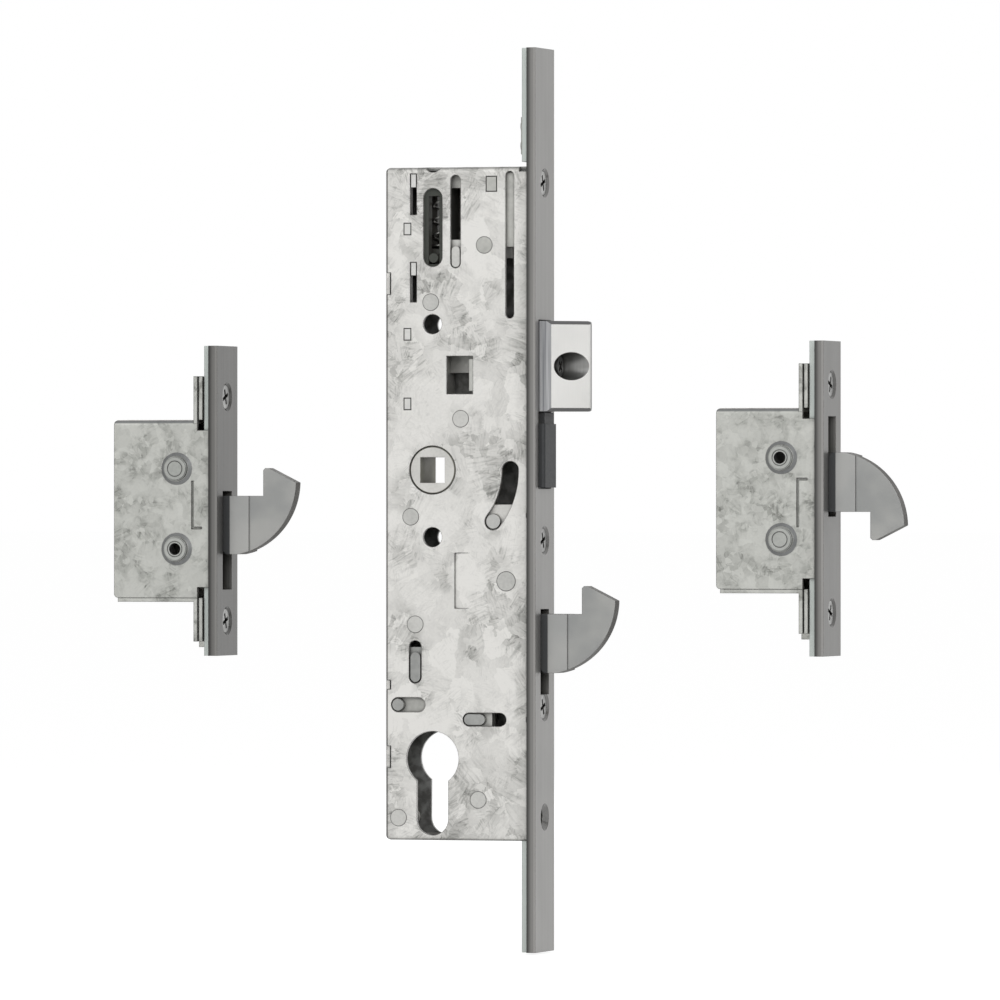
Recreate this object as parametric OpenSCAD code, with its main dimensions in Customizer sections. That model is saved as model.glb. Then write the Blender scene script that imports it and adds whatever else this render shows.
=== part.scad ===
// Multipoint door lock: the gearbox section with its latch, trigger and hook bolt, and the top and
// bottom hook sections of the same lock, standing side by side on cut lengths of faceplate.
// X runs to the door edge, Y through the door, Z up. The origin is the handle spindle axis.

/* [Faceplate] */
// Spindle axis to the front of the faceplate
backset = 35; // [35:0.5:45]
// Width of every faceplate
faceplate_w = 20; // [18:0.5:24]
// Thickness of every faceplate
faceplate_t = 3; // [2.6:0.1:3.4]
// Gearbox faceplate above the spindle axis
faceplate_up = 134.2; // [132:0.2:180]
// Gearbox faceplate below the spindle axis
faceplate_down = 153.4; // [150:0.2:200]
// Screw head diameter
screw_head_d = 9; // [8:0.1:9.6]
// Screw shank diameter
screw_d = 4; // [3.5:0.1:4.4]

/* [Gearbox case] */
// Outside thickness of every case
case_t = 16; // [15.8:0.1:18]
// Sheet thickness of every case
sheet_t = 1.25; // [1:0.05:1.35]
// Case behind the spindle axis
case_back = 15.5; // [15.3:0.1:20]
// Case above the spindle axis
case_up = 96.5; // [96.2:0.1:98]
// Outside radius of the sheet bends
bend_r = 1.8; // [1.5:0.1:2.4]
// Rivet head diameter on the case
rivet_d = 5.2; // [4.8:0.1:5.6]
// Pillar diameter between the shells
pillar_d = 4; // [3.4:0.1:4.4]

/* [Handle and cylinder] */
// Handle hub journal diameter
hub_d = 15.4; // [14:0.1:16]
// Square hole for the spindle
spindle_square = 8.2; // [8:0.1:8.5]
// Handle screw hole diameter
handle_hole_d = 6.3; // [5:0.1:6.6]
// Upper handle screw hole above the spindle axis
handle_up = 46.5; // [45:0.1:47]
// Lower handle screw hole below the spindle axis
handle_down = 21.4; // [20.5:0.1:22]
// Spindle axis to the cylinder axis
cylinder_pz = 92; // [92:0.5:96]
// Round part of the cylinder hole, diameter
cylinder_d = 17.5; // [17:0.1:18]
// Slot of the cylinder hole, width
cylinder_slot_w = 10.5; // [10.2:0.1:11]
// Cylinder axis to the bottom of its slot
cylinder_slot_drop = 24.4; // [24:0.1:25]
// Cylinder fixing screw hole diameter
cylinder_screw_d = 5.5; // [5:0.1:6]

/* [Drive] */
// Turn of the handle hub
hub_turn = 39; // [34:1:40]
// Radius of the drive pin about the spindle axis
arm_r = 26; // [25:0.1:26.4]
// Drive pin diameter
arm_pin_d = 4.6; // [4:0.1:4.8]
// Lift of the drive slide and the rails
rail_travel = 18; // [16:0.5:18]
// Thickness of the drive slide
slide_t = 1.5; // [1.2:0.1:1.6]
// Thickness of the rails
rail_t = 2.3; // [2:0.1:2.5]
// Width of the rails
rail_w = 13; // [12:0.1:13.2]

/* [Hooks] */
// Swing of a hook
hook_swing = 66; // [64:1:68]
// Reach of a hook beyond the faceplate front
hook_reach = 24.5; // [22:0.1:25]
// Gap between the faceplate front and the hook's beak
hook_gap = 13.5; // [12:0.1:14.5]
// Rise of the beak over the neck
beak_rise = 8.9; // [8:0.1:9.2]
// Hook thickness at the root
hook_root_t = 8.4; // [8:0.1:8.6]
// Hook thickness at the blade
hook_blade_t = 4.6; // [4.2:0.1:5.2]
// Hook pivot pin diameter
hook_pin_d = 5; // [4.4:0.1:5.2]
// Hook drive pin diameter
drive_pin_d = 4; // [3.6:0.1:4.2]
// Gearbox hook pivot below the spindle axis
hook_drop = 35.4; // [35:0.1:36]
// Gearbox hook pivot behind the faceplate front
centre_pivot_back = 10.4; // [10:0.1:10.8]
// Neck of the gearbox hook below its pivot
centre_neck_drop = 10.4; // [10:0.1:10.8]

/* [Latch] */
// Latch height
latch_h = 28.8; // [26:0.1:29]
// Latch thickness
latch_t = 12.5; // [11:0.1:12.6]
// Latch reach beyond the faceplate front
latch_reach = 14.2; // [13.6:0.1:15]
// Straight flank of the latch beyond the faceplate front
latch_flank = 4.1; // [3.5:0.1:4.5]
// Latch centre above the spindle axis
latch_up = 33; // [32.9:0.1:34]
// Reversing screw pocket diameter
latch_pocket_d = 8.8; // [8:0.1:9.2]
// Radius of the latch arm of the hub
latch_arm_r = 20.4; // [20:0.1:20.6]

/* [Trigger] */
// Trigger height
trigger_h = 20.3; // [18:0.1:20.6]
// Trigger width
trigger_w = 13; // [12:0.1:13.1]
// Trigger reach beyond the faceplate front
trigger_reach = 2; // [1.8:0.1:2.2]
// Trigger centre above the spindle axis
trigger_up = 4.55; // [4.5:0.05:4.9]

/* [Deadlock] */
// Throw of the deadlock slide
deadlock_throw = 6.7; // [6:0.1:7]
// Lift of the key blocker
blocker_lift = 3.3; // [2.8:0.1:3.6]

/* [Hook cases] */
// Hook case depth behind the faceplate front
side_depth = 35.8; // [35.6:0.1:40]
// Hook case height
side_h = 57.2; // [57:0.1:62]
// Hook pivot behind the faceplate front
side_pivot_back = 14.4; // [14:0.1:14.6]
// Neck of a side hook below its pivot
side_neck_drop = 8.7; // [8.6:0.1:9.2]
// Pivot to eyelet
eyelet_pitch = 25.8; // [24:0.1:27]
// Rivet head diameter on a hook case
boss_d = 7.8; // [7:0.1:8.4]
// Mounting ear height
ear_h = 14; // [13:0.1:16]
// Distance between the two faceplate screws
side_screw_pitch = 72; // [70:0.1:74]
// Faceplate length of a hook section
side_faceplate_len = 99.5; // [98:0.1:120]

/* [Layout] */
// Top section's faceplate front, left of the gearbox section's
top_offset = 107; // [100:1:160]
// Bottom section's faceplate front, right of the gearbox section's
bottom_offset = 95; // [90:1:160]
// Top section's case centre above the spindle axis
top_case_z = -12.4; // [-60:0.1:60]
// Bottom section's case centre above the spindle axis
bottom_case_z = -9.1; // [-60:0.1:60]
// Hook section's faceplate centre above its case centre
top_plate_rise = 2.6; // [0:0.1:4]

/* [Clearances] */
// Radial clearance of a turning pin
run_gap = 0.06; // [0.03:0.01:0.1]
// Clearance of a fixed pin in its hole
seat_gap = 0.04; // [0.02:0.01:0.08]
// Clearance beside a sliding part
slide_gap = 0.3; // [0.2:0.05:0.35]

/* [Hidden] */
$fn = 64;
eps = 0.01;
far = 400;

// Planes shared by the pieces
front = backset;
plate_back = front - faceplate_t;
y_out = case_t / 2;
y_in = y_out - sheet_t;
far_hi = y_in - slide_gap;
far_lo = far_hi - slide_t;
near_lo = -y_in + slide_gap / 2;
near_hi = near_lo + slide_t;
mid_y = far_lo - slide_gap;
rail_hi = plate_back - slide_gap;
rail_lo = rail_hi - rail_t;
foot_t = sheet_t;
foot_lo = rail_lo - foot_t;

// Gearbox case
case_left = -case_back;
case_floor = 1.6;
case_down = cylinder_pz + cylinder_slot_drop + case_floor;
case_corner_r = 1.3;
screw_z = [case_up - 5.1, -22.4, -(cylinder_pz - 16.6)];
tab_half = 3.7;
tab_t = 1.3;
tab_lo = plate_back - tab_t;
screw_len = 8.5;
screw_sink = 0.6;
cylinder_screw_drop = 18.5;
cylinder_screw_z = -(cylinder_pz + cylinder_screw_drop);
rivet_r = rivet_d / 2;
upper_pillar_drop = 43;
pillar_drops = [13, 18.9];
pillar_places = [
    [-0.6, case_up - upper_pillar_drop], [9.4, 16.3], [-7.3, -14.9], [-5.8, -49.2],
    [15.3, -(cylinder_pz + pillar_drops[0])], [-11.4, -(cylinder_pz + pillar_drops[1])]
];
guide_rivet_drop = 24.9;
guide_rivet = [17.3, case_up - guide_rivet_drop];
edge_tab_drop = [40.5, 33.5];
edge_tab_low = [-3, 4];
edge_tabs = [
    case_up * [1, 1] - edge_tab_drop, [-70, -67], edge_tab_low - cylinder_pz * [1, 1]
];

// Punched openings of the cover, as centre, width and height
rear_slot_drop = [8.55, 36.6];
rear_slots = [
    [-6.4, case_up - rear_slot_drop[0], 2.2, 13.1], [-6.4, case_up - rear_slot_drop[1], 2.2, 12.8]
];
rear_tongue_low = 2.2;
tenon_size = [2, 3.4];
rear_strip_lo = [-9.7, 18.5];
tenon_drop = 19.6;
tenon_places = [[-8.4, case_up - tenon_drop], [-8.4, 43.3], [-8.4, 21.1]];
plunger_slot_drop = [28.5, 9.9];
plunger_slot = [0.1, case_up - plunger_slot_drop[0], case_up - plunger_slot_drop[1], 3.2];
guide_pin_w = 2.7;
guide_pin_h = 6.7;
guide_pin_drop = 28.55;
guide_pin_at = [7.7, case_up - guide_pin_drop];
guide_foot = [5.2, 1.2];
guide_foot_over = [2, 2.1];
guide_stop_low = guide_pin_at.y + guide_pin_h / 2 + rail_travel + 0.6;
guide_stop_t = 1.2;
guide_slot_w = guide_pin_w + 0.7;
guide_slot_spare = 4.4;
block_tenon_drop = 5.45;
block_tenon = [19.7, case_up - block_tenon_drop, 3.2, 4.5];
block_x = [14.2, 23];
block_under = 4;
block_top = case_up - bend_r - seat_gap;
rail_slot_ends = [3.1, 2.9];
rail_slot_back = 6.2;
rail_slot = [plate_back - rail_slot_back, handle_up + rail_slot_ends[0], case_up - rail_slot_ends[1], 1.4];
window_lo = [4.7, 24.2];
window_hi = [12.2, 36.3];
window_relief = 1.0;
recess_lo = [7.4, -44.1];
recess_hi = [12.7, -26.4];
recess_depth = 0.55;
corner_notch = [[-3.1, -1.6], [-0.4, 1]];
edge_notch = [0.7, 0.8];
edge_notch_z = [screw_z[1] + 8, screw_z[2] - 4];
dimple_r = 3;
dimple_rise = 1.35;

// Hub
hub_fit_r = hub_d / 2 + run_gap;
hub_barrel_r = hub_d / 2 + 1.5;
hub_barrel_y = y_in - 0.15;
hub_chamfer = 0.5;
arm_rest = -hub_turn;
arm_w = 6.8;
arm_half_y = 2.4;
arm_pad_r = [21.5, 28.6];
arm_pad_lap = 0.4;
arm_pad_top = -11;
arm_pad_back = arm_rest - 8;
arm_pin_r = arm_pin_d / 2;
arm_pin_at = [arm_r * cos(arm_rest), arm_r * sin(arm_rest)];
curve_slot_r = arm_pin_r + 0.5;
latch_arm_rest = 74;
latch_nose_r = 2;
latch_neck_r = 1.4;
latch_nose_at = [latch_arm_r * cos(latch_arm_rest), latch_arm_r * sin(latch_arm_rest)];

// Hooks
hook_boss_r = 6.4;
drive_pin_r = drive_pin_d / 2;
tail_back = rail_travel / 2 / tan(hook_swing / 2);
tail_r = norm([tail_back, rail_travel / 2]);
tail_angle = 180 + hook_swing / 2;
tail_slot_r = drive_pin_r + 0.55;
tail_half = tail_slot_r + 2;
tail_end = 1.4;
hook_arc_r = 24;
hook_arc_rise = 4.8;
hook_heel = 18.8;
hook_tip_r = 0.7;
hook_tip_flat = 1.8;
hook_nose_drop = 4.6;
hook_under = [[-4, -14], [-6, -9]];
hook_root_out = 8.75;
hook_root_in = faceplate_t + 0.6;
hook_slot_half = hook_root_t / 2 + slide_gap;
hook_blade_step = 0.5;
hook_blade_lo = hook_blade_step - hook_root_t / 2;
hook_slot_spare = 1.4;
centre_pivot = [front - centre_pivot_back, -hook_drop];
centre_pin_at = [centre_pivot.x - tail_back, centre_pivot.y - rail_travel / 2];

// Drive slide
strip_lo = hub_barrel_r + 0.6;
strip_hi = 16.9;
stem_lo = pillar_places[1].x + pillar_d / 2 + 0.5;
stem_hi = 15.8;
cam_wall = 1.6;
cam_slot_r = arm_pin_r + slide_gap;
cam_from = arm_pin_at;
cam_to = [arm_r, -rail_travel];
bridge_top = case_up - sheet_t - rail_travel - 0.7;
bridge_low = bridge_top - 5.6;
tongue_w = 2.1;
tongue_lo = foot_lo + foot_t - tongue_w;
upper_foot = [case_up + 4, case_up + 15.8];
lower_foot = [-(cylinder_pz + 14.3), -(cylinder_pz + 6.2)];
cross_arm = [-(cylinder_pz + 10.5), -(cylinder_pz + 4.2)];
foot_reach = 3.5;
upper_rail_low = case_up + 1.5;
lower_rail_top = -(cylinder_pz + 6.2);
rail_rivet_r = 1.5;
rivet_shares = [0.24, 0.76];
lug_w = 6;

// Return spring
housing_drop = 36.1;
housing_lo = [-4.6, case_up - housing_drop];
housing_hi = [4.8, case_up - sheet_t - 0.6];
housing_bore_r = 3.3;
plunger_x = plunger_slot.x;
plunger_r = housing_bore_r - slide_gap;
plunger_drop = [31.9, 25.9];
plunger_z = case_up * [1, 1] - plunger_drop;
plunger_pin_r = 1.5;
plunger_slot_half = plunger_pin_r + slide_gap;
plunger_y = -0.4;
plunger_pin_z = plunger_z[0] + 3;
spring_end_gap = 0.1;
return_wire_r = 0.4;
latch_wire_r = 0.25;
trigger_wire_r = 0.3;

// Latch
latch_in = front - 5.6;
latch_tip = front + latch_reach;
latch_nose_fillet = 1.7;
latch_pocket_at = [-1.1, latch_up];
latch_pocket_floor = front + latch_flank - 0.7;
latch_corner_r = 1.3;
latch_head_r = 3.2;
latch_head_h = 2.2;
latch_recess = [4.2, 1.1, 1.4];
latch_screw_end = latch_in + 3.3;
latch_bevel = 1.1;
latch_gap = 0.35;
latch_slot_y = latch_t / 2 + latch_gap;
tail_lug_hi = latch_nose_at.x - latch_nose_r - slide_gap;
tail_lug_lo = tail_lug_hi - 2.2;
tail_z = [latch_up - 2, latch_up + 3.5];
tail_y = [0.4, 4.6];
tail_tenon = 2.5;
latch_spring_r = 2.15;
latch_spring_at = [-3.6, latch_up - 2.6];
spring_tab_t = sheet_t;
spring_tab_hi = window_hi.x + spring_tab_t;
spring_foot = [2.1, 0.6];

// Trigger
trigger_lo = trigger_up - trigger_h / 2;
trigger_hi = trigger_up + trigger_h / 2;
trigger_slot_y = trigger_w / 2 + slide_gap;
trigger_stem_z = trigger_hi - 4.3;
trigger_stem_r = 1.9;
trigger_back = plate_back - 1.7;
trigger_step = 0.5;
trigger_cam_gap = 0.25;
trigger_relief = cam_to.x + cam_slot_r + cam_wall + trigger_reach + trigger_cam_gap;
guide_lo = 21.6;
guide_hi = 24.6;
clip_t = 0.9;

// Deadlock
deadlock_pin_rise = 17.15;
deadlock_bar_rise = 12.55;
deadlock_pin_at = [-11.5, deadlock_pin_rise - cylinder_pz];
deadlock_pin_r = 1.9;
deadlock_bar_at = [14.05, deadlock_bar_rise - cylinder_pz];
deadlock_bar = [6.9, 3.4];
deadlock_slot_gap = 0.45;
deadlock_edge = [3, 3.4];
deadlock_low = deadlock_bar_at.y - deadlock_edge[0];
deadlock_top = deadlock_pin_at.y + deadlock_edge[1];
deadlock_left = -13.5;
deadlock_right_edge = 2;
deadlock_right = deadlock_bar_at.x + deadlock_bar.x / 2 + deadlock_right_edge;
key_notch = [2.6, 3.2];
blocker_x = -5.8;
blocker_w = 6.2;
blocker_bar = [3.3, 9.5];
blocker_bar_z = deadlock_top + 8.6;
blocker_top = deadlock_top + 15;
wedge_slope = blocker_lift / deadlock_throw;
wedge_gap = 0.15;

// Hook sections
side_pivot_z = eyelet_pitch / 2;
boss_r = boss_d / 2;
boss_h = 0.8;
head_h = 1.2;
ear_gap = 0.3;
ear_hi = [rail_lo - front - ear_gap, rail_lo - front - 2 * ear_gap - sheet_t];
boss_z = side_pivot_z * [1, 1] - [0, eyelet_pitch];
boss_flare = 1.3;
groove_x = -9.4;
groove_drop = [19.4, 3.9];
groove_z = side_pivot_z * [1, 1] - groove_drop;
groove_w = 0.7;
groove_foot = 3.5;
lip_back = -side_depth + 1.3;
ear_web = -12;
drive_plate_w = 8.4;
drive_plate_over = 5;
plate_lo = -side_pivot_back - tail_back - drive_plate_w / 2;
side_bridge_drop = [12, 3.2];
side_bridge = -rail_travel * [1, 1] - side_bridge_drop;
side_screw_len = sheet_t - ear_hi[1];
ear_notch = 3.4;

// Extrudes a drawing in X and Z from y0 to y1
module along_y(y0, y1) {
    translate([0, y1, 0]) rotate([90, 0, 0]) linear_extrude(y1 - y0) children();
}

// Extrudes a drawing in Y and Z from x0 to x1
module along_x(x0, x1) {
    translate([x0, 0, 0]) rotate([90, 0, 90]) linear_extrude(x1 - x0) children();
}

// Block between two corners
module block(lo, hi) {
    translate(lo) cube(hi - lo);
}

// Round bar along Y
module pin_y(at, r, y0, y1) {
    translate([at.x, y1, at.y]) rotate([90, 0, 0]) cylinder(r = r, h = y1 - y0);
}

// Round bar along X, at a place in Y and Z
module pin_x(at, r, x0, x1) {
    translate([x0, at.x, at.y]) rotate([0, 90, 0]) cylinder(r = r, h = x1 - x0);
}

// Drawing of a rectangle between two corners
module rect(lo, hi) {
    translate(lo) square(hi - lo);
}

// Drawing of a rectangle about its centre
module rect_at(at, size) {
    translate(at) square(size, center = true);
}

// Drawing of a rectangle with round corners
module round_rect(lo, hi, r) {
    rect([lo.x + r, lo.y], [hi.x - r, hi.y]);
    rect([lo.x, lo.y + r], [hi.x, hi.y - r]);
    for (x = [lo.x + r, hi.x - r], y = [lo.y + r, hi.y - r]) translate([x, y]) circle(r);
}

// Drawing of a slot with round ends between two points
module slot(from, to, r) {
    way = to - from;
    translate(from) circle(r);
    translate(to) circle(r);
    translate(from) rotate(atan2(way.y, way.x)) translate([0, -r]) square([norm(way), 2 * r]);
}

// Drawing of a slot with round ends about its centre
module slot_at(at, size) {
    r = min(size.x, size.y) / 2;
    run = [max(size.x / 2 - r, 0), max(size.y / 2 - r, 0)];
    slot(at - run, at + run, r);
}

// Drawing of the cylinder hole
module cylinder_profile() {
    translate([0, -cylinder_pz]) circle(d = cylinder_d);
    slot(
        [0, -cylinder_pz],
        [0, -cylinder_pz - cylinder_slot_drop + cylinder_slot_w / 2],
        cylinder_slot_w / 2
    );
}

// Drawing of the curved slot that the hub's drive pin runs in
module curved_slot() {
    difference() {
        intersection() {
            circle(arm_r + curve_slot_r);
            polygon([[0, 0], 2 * arm_r * [cos(arm_rest), sin(arm_rest)], 2 * arm_r * [1, 0]]);
        }
        circle(arm_r - curve_slot_r);
    }
    for (angle = [0, arm_rest]) rotate(angle) translate([arm_r, 0]) circle(curve_slot_r - eps);
}

// Round holes that pass through both shells of the gearbox case
module shared_holes() {
    circle(hub_fit_r);
    translate([0, handle_up]) circle(d = handle_hole_d);
    translate([0, -handle_down]) circle(d = handle_hole_d);
    cylinder_profile();
    for (place = pillar_places) translate(place) circle(rivet_r + seat_gap);
    translate(centre_pivot) circle(hook_pin_d / 2 + 0.5 + seat_gap);
    for (place = rear_slots) rect_at([place[0], place[1]], [place[2], place[3]]);
    slot([plunger_slot[0], plunger_slot[1]], [plunger_slot[0], plunger_slot[2]], plunger_slot[3]);
    slot([rail_slot[0], rail_slot[1]], [rail_slot[0], rail_slot[2]], rail_slot[3]);
}

// Openings punched in the cover alone
module cover_holes() {
    shared_holes();
    curved_slot();
    for (place = tenon_places) rect_at(place, tenon_size + 2 * seat_gap * [1, 1]);
    rect_at([block_tenon[0], block_tenon[1]], [block_tenon[2], block_tenon[3]] + 2 * seat_gap * [1, 1]);
    translate(guide_rivet) circle(rivet_r + seat_gap);
    slot_at(
        guide_pin_at + [0, rail_travel / 2 + guide_slot_spare / 2],
        [guide_slot_w, guide_pin_h + rail_travel + guide_slot_spare + 2 * slide_gap]
    );
    rect(window_lo, [spring_tab_hi + seat_gap, window_hi.y]);
    slot_at(
        [blocker_x, blocker_bar_z + blocker_lift / 2],
        [blocker_bar.x, blocker_bar.y + blocker_lift] + 2 * deadlock_slot_gap * [1, 1]
    );
    slot_at(
        deadlock_pin_at + [deadlock_throw / 2, 0],
        [2 * deadlock_pin_r + deadlock_throw, 2 * deadlock_pin_r] + 2 * deadlock_slot_gap * [1, 1]
    );
    slot_at(
        deadlock_bar_at + [deadlock_throw / 2, 0],
        [deadlock_bar.x + deadlock_throw, deadlock_bar.y] + 2 * deadlock_slot_gap * [1, 1]
    );
    for (z = edge_tabs) rect([case_left - 1, z[0]], [case_left + sheet_t + slide_gap, z[1]]);
    translate([plunger_slot[0], case_up + dimple_rise]) circle(dimple_r);
    rect([plate_back, case_up] + corner_notch[0], [plate_back, case_up] + corner_notch[1]);
    for (z = edge_notch_z)
        rect([plate_back - edge_notch.x, z - edge_notch.y], [plate_back + 1, z + edge_notch.y]);
}

// Countersunk screw along X with a cross recess, its head sunk a little below x = 0 and its end at this depth
module screw_x(at, len) {
    head_r = screw_head_d / 2 - screw_sink;
    head_h = head_r - screw_d / 2;
    recess_w = 1.1;
    recess_len = screw_head_d * 0.56;
    recess_deep = 1.6;
    translate([-screw_sink, at.x, at.y]) difference() {
        union() {
            rotate([0, -90, 0]) cylinder(r1 = head_r, r2 = screw_d / 2, h = head_h);
            rotate([0, -90, 0]) cylinder(d = screw_d, h = len - screw_sink);
        }
        for (turn = [20, 110]) rotate([turn, 0, 0])
            block([-recess_deep, -recess_len / 2, -recess_w / 2], [1, recess_len / 2, recess_w / 2]);
    }
}

// Countersunk hole that such a screw sits in, cut from x = 0
module screw_hole_x(at) {
    head_r = screw_head_d / 2 + 0.15;
    translate([0, at.x, at.y]) rotate([0, -90, 0]) {
        cylinder(r1 = head_r, r2 = head_r - faceplate_t, h = faceplate_t);
        translate([0, 0, -1]) cylinder(r = head_r, h = 1 + eps);
        translate([0, 0, -1]) cylinder(r = screw_d / 2 + 0.2, h = faceplate_t + 2);
    }
}

// Spring wound along Z from z = 0, one unbroken wire of six-sided section
module coil(r, wire_r, len, turns) {
    rings = 8;
    sides = 6;
    steps = rings * turns;
    rise = (len - 2 * wire_r) / steps;
    points = [
        for (i = [0:steps], k = [0:sides - 1])
            let (turn = 360 * i / rings, side = 360 * k / sides, out = r + wire_r * cos(side))
            [out * cos(turn), out * sin(turn), wire_r + i * rise + wire_r * sin(side)]
    ];
    skin = [
        for (i = [0:steps - 1], k = [0:sides - 1])
            let (a = i * sides + k, b = i * sides + (k + 1) % sides)
            each [[a, b, b + sides], [a, b + sides, a + sides]]
    ];
    first = [for (k = [1:sides - 2]) [0, k + 1, k]];
    end = steps * sides;
    last = [for (k = [1:sides - 2]) [end, end + k, end + k + 1]];
    echo(coil_gap = rings * rise - 2 * wire_r);
    polyhedron(points, concat(skin, first, last));
}

// Drawing of a hook about its pivot, for a pivot this far behind the front and a neck this far below
module hook_outline(back, drop) {
    beak = back + hook_gap;
    reach = back + hook_reach;
    arc_at = [back + 0.6, hook_arc_rise - drop];
    low = [back, -drop];
    intersection() {
        translate(arc_at) circle(hook_arc_r, $fn = 128);
        polygon([
            low - [hook_root_in, 0],
            [beak, -drop],
            [beak, beak_rise - hook_tip_r - drop],
            [beak + hook_tip_r, beak_rise - drop],
            [beak + hook_tip_flat, beak_rise - drop],
            [reach, beak_rise - hook_nose_drop - drop],
            [reach + 2, -drop],
            [reach + 2, -hook_heel - drop],
            low + [1, -hook_heel],
            low + hook_under[0],
            low + hook_under[1]
        ]);
    }
    polygon([
        -0.7 * hook_boss_r * [1, 1],
        [hook_boss_r, 0],
        low - [hook_root_in, 0],
        low + [2, -2],
        low + [-1, -11],
        low + hook_under[0]
    ]);
    circle(hook_boss_r);
    rotate(tail_angle) rect([0, -tail_half], [tail_r + tail_end, tail_half]);
}

// Hook with a thick root, a thinner blade and a bevelled cutting face, about its pivot
module hook_solid(back, drop) {
    difference() {
        union() {
            along_y(hook_blade_lo, hook_blade_lo + hook_blade_t) hook_outline(back, drop);
            along_y(-hook_root_t / 2, hook_root_t / 2) intersection() {
                hook_outline(back, drop);
                rect([-far, -far], [back + hook_root_out, far]);
            }
        }
        pin_y([0, 0], hook_pin_d / 2 + run_gap, -far, far);
        along_y(-far, far) rotate(tail_angle) slot([tail_back - run_gap, 0], [far, 0], tail_slot_r);
    }
}

// Lowest place that a swinging hook reaches in the plane this far in front of its pivot
function hook_sweep(back, drop, out) =
    let (corner = norm([back + hook_reach, drop - beak_rise + hook_nose_drop]))
    -sqrt(corner * corner - out * out);

// Upper edge of a hook's shoulder in the plane this far in front of the faceplate front
function hook_shoulder(back, drop, out) =
    -drop * (back + out - hook_boss_r) / (back - hook_root_in - hook_boss_r);

// Opening of a faceplate for a hook, drawn in Y and Z about the pivot
module hook_opening(back, drop) {
    low = hook_sweep(back, drop, back - faceplate_t) - hook_slot_spare;
    rect([-hook_slot_half, low], [hook_slot_half, -drop + 1.5]);
}

module centre_faceplate() {
    color("#9c9c98") difference() {
        block([plate_back, -faceplate_w / 2, -faceplate_down], [front, faceplate_w / 2, faceplate_up]);
        along_x(plate_back - 1, front + 1) {
            rect_at([0, latch_up], [2 * latch_slot_y, latch_h + 2 * slide_gap]);
            rect([-trigger_slot_y, trigger_lo - slide_gap], [trigger_slot_y, latch_up - latch_h / 2]);
            translate([0, centre_pivot.y]) hook_opening(centre_pivot_back, centre_neck_drop);
        }
        translate([front, 0, 0]) for (z = screw_z) screw_hole_x([0, z]);
        translate([front, 0, 0]) cylinder_screw_cut();
    }
}

// Countersunk hole of the cylinder screw, cut from x = 0
module cylinder_screw_cut() {
    sink = 1.6;
    sink_r = cylinder_screw_d / 2 + sink;
    translate([0, 0, cylinder_screw_z]) rotate([0, -90, 0]) {
        cylinder(r1 = sink_r, r2 = sink_r - sink, h = sink);
        translate([0, 0, -1]) cylinder(r = sink_r, h = 1 + eps);
        translate([0, 0, -1]) cylinder(d = cylinder_screw_d, h = faceplate_t + 2);
    }
}

// Drawing in Y and Z of a channel with its web on the near side and bent legs at these heights
module channel(low, high) {
    intersection() {
        difference() {
            round_rect([-y_out, low], [y_out + 2 * bend_r, high], bend_r);
            round_rect([-y_in, low + sheet_t], [far, high - sheet_t], bend_r - sheet_t);
        }
        rect([-y_out, low], [y_in, high]);
    }
}

// Drawing in X and Z of the gearbox case's outline
module case_outline() {
    round_rect([case_left, -case_down], [plate_back, case_up], case_corner_r);
}

module centre_cover() {
    color("#d6d5d0") difference() {
        intersection() {
            along_x(case_left, plate_back) channel(-case_down, case_up);
            along_y(-far, far) case_outline();
        }
        along_y(-y_out - 1, -y_in + 0.5) cover_holes();
        block(
            [tongue_lo - slide_gap, far_lo - slide_gap, case_up - 3],
            [foot_lo + foot_t + slide_gap, far, case_up + 1]
        );
        block(
            [rail_lo - slide_gap, -rail_w / 2 - slide_gap, -case_down - 1],
            [plate_back + 1, far, -case_down + 3]
        );
        translate([0, 0, recess_lo.y]) linear_extrude(recess_hi.y - recess_lo.y) polygon([
            [recess_lo.x, -y_out - 1], [recess_lo.x, recess_depth - y_out],
            [recess_hi.x, -y_out], [recess_hi.x, -y_out - 1]
        ]);
    }
}

// Angle that the latch spring pushes off, let into the side of the cover's window
module latch_spring_seat() {
    low = window_lo.y + window_relief;
    high = window_hi.y - window_relief;
    color("#c9c9c2") {
        block([window_hi.x, -y_out + 0.1, low], [spring_tab_hi, tail_y[0] - 0.8, high]);
        block([window_hi.x, -y_in, low], [spring_tab_hi + spring_foot.x, spring_foot.y - y_in, high]);
    }
}

module centre_backplate() {
    wall_low = -case_down + bend_r + seat_gap;
    wall_high = case_up - bend_r - seat_gap;
    wall_in = case_left + sheet_t;
    color("#c9c9c4") difference() {
        union() {
            intersection() {
                translate([0, 0, -far]) linear_extrude(2 * far) difference() {
                    round_rect([case_left, -far], [far, y_out], bend_r);
                    round_rect([case_left + sheet_t, -far - 9], [far + 9, y_in], bend_r - sheet_t);
                }
                union() {
                    along_y(y_in, y_out + 1) case_outline();
                    block([case_left, -y_in + seat_gap, wall_low], [wall_in, y_in + eps, wall_high]);
                    for (z = edge_tabs)
                        block([case_left, -y_out, z[0] + seat_gap], [wall_in, 0, z[1] - seat_gap]);
                }
            }
            for (z = screw_z)
                block([tab_lo, -y_in + 0.4, z - tab_half], [plate_back, y_in + eps, z + tab_half]);
        }
        along_y(y_in - 0.5, y_out + 1) shared_holes();
        for (z = screw_z) pin_x([0, z], screw_d / 2 + seat_gap, tab_lo - 1, plate_back + 1);
    }
}

module case_pillars() {
    proud = 0.1;
    color("#c4c4bf") for (place = pillar_places) {
        pin_y(place, rivet_r, -y_out - proud, -y_in);
        pin_y(place, pillar_d / 2, -y_in - eps, y_in + eps);
        pin_y(place, rivet_r, y_in, y_out + proud);
    }
}

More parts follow.
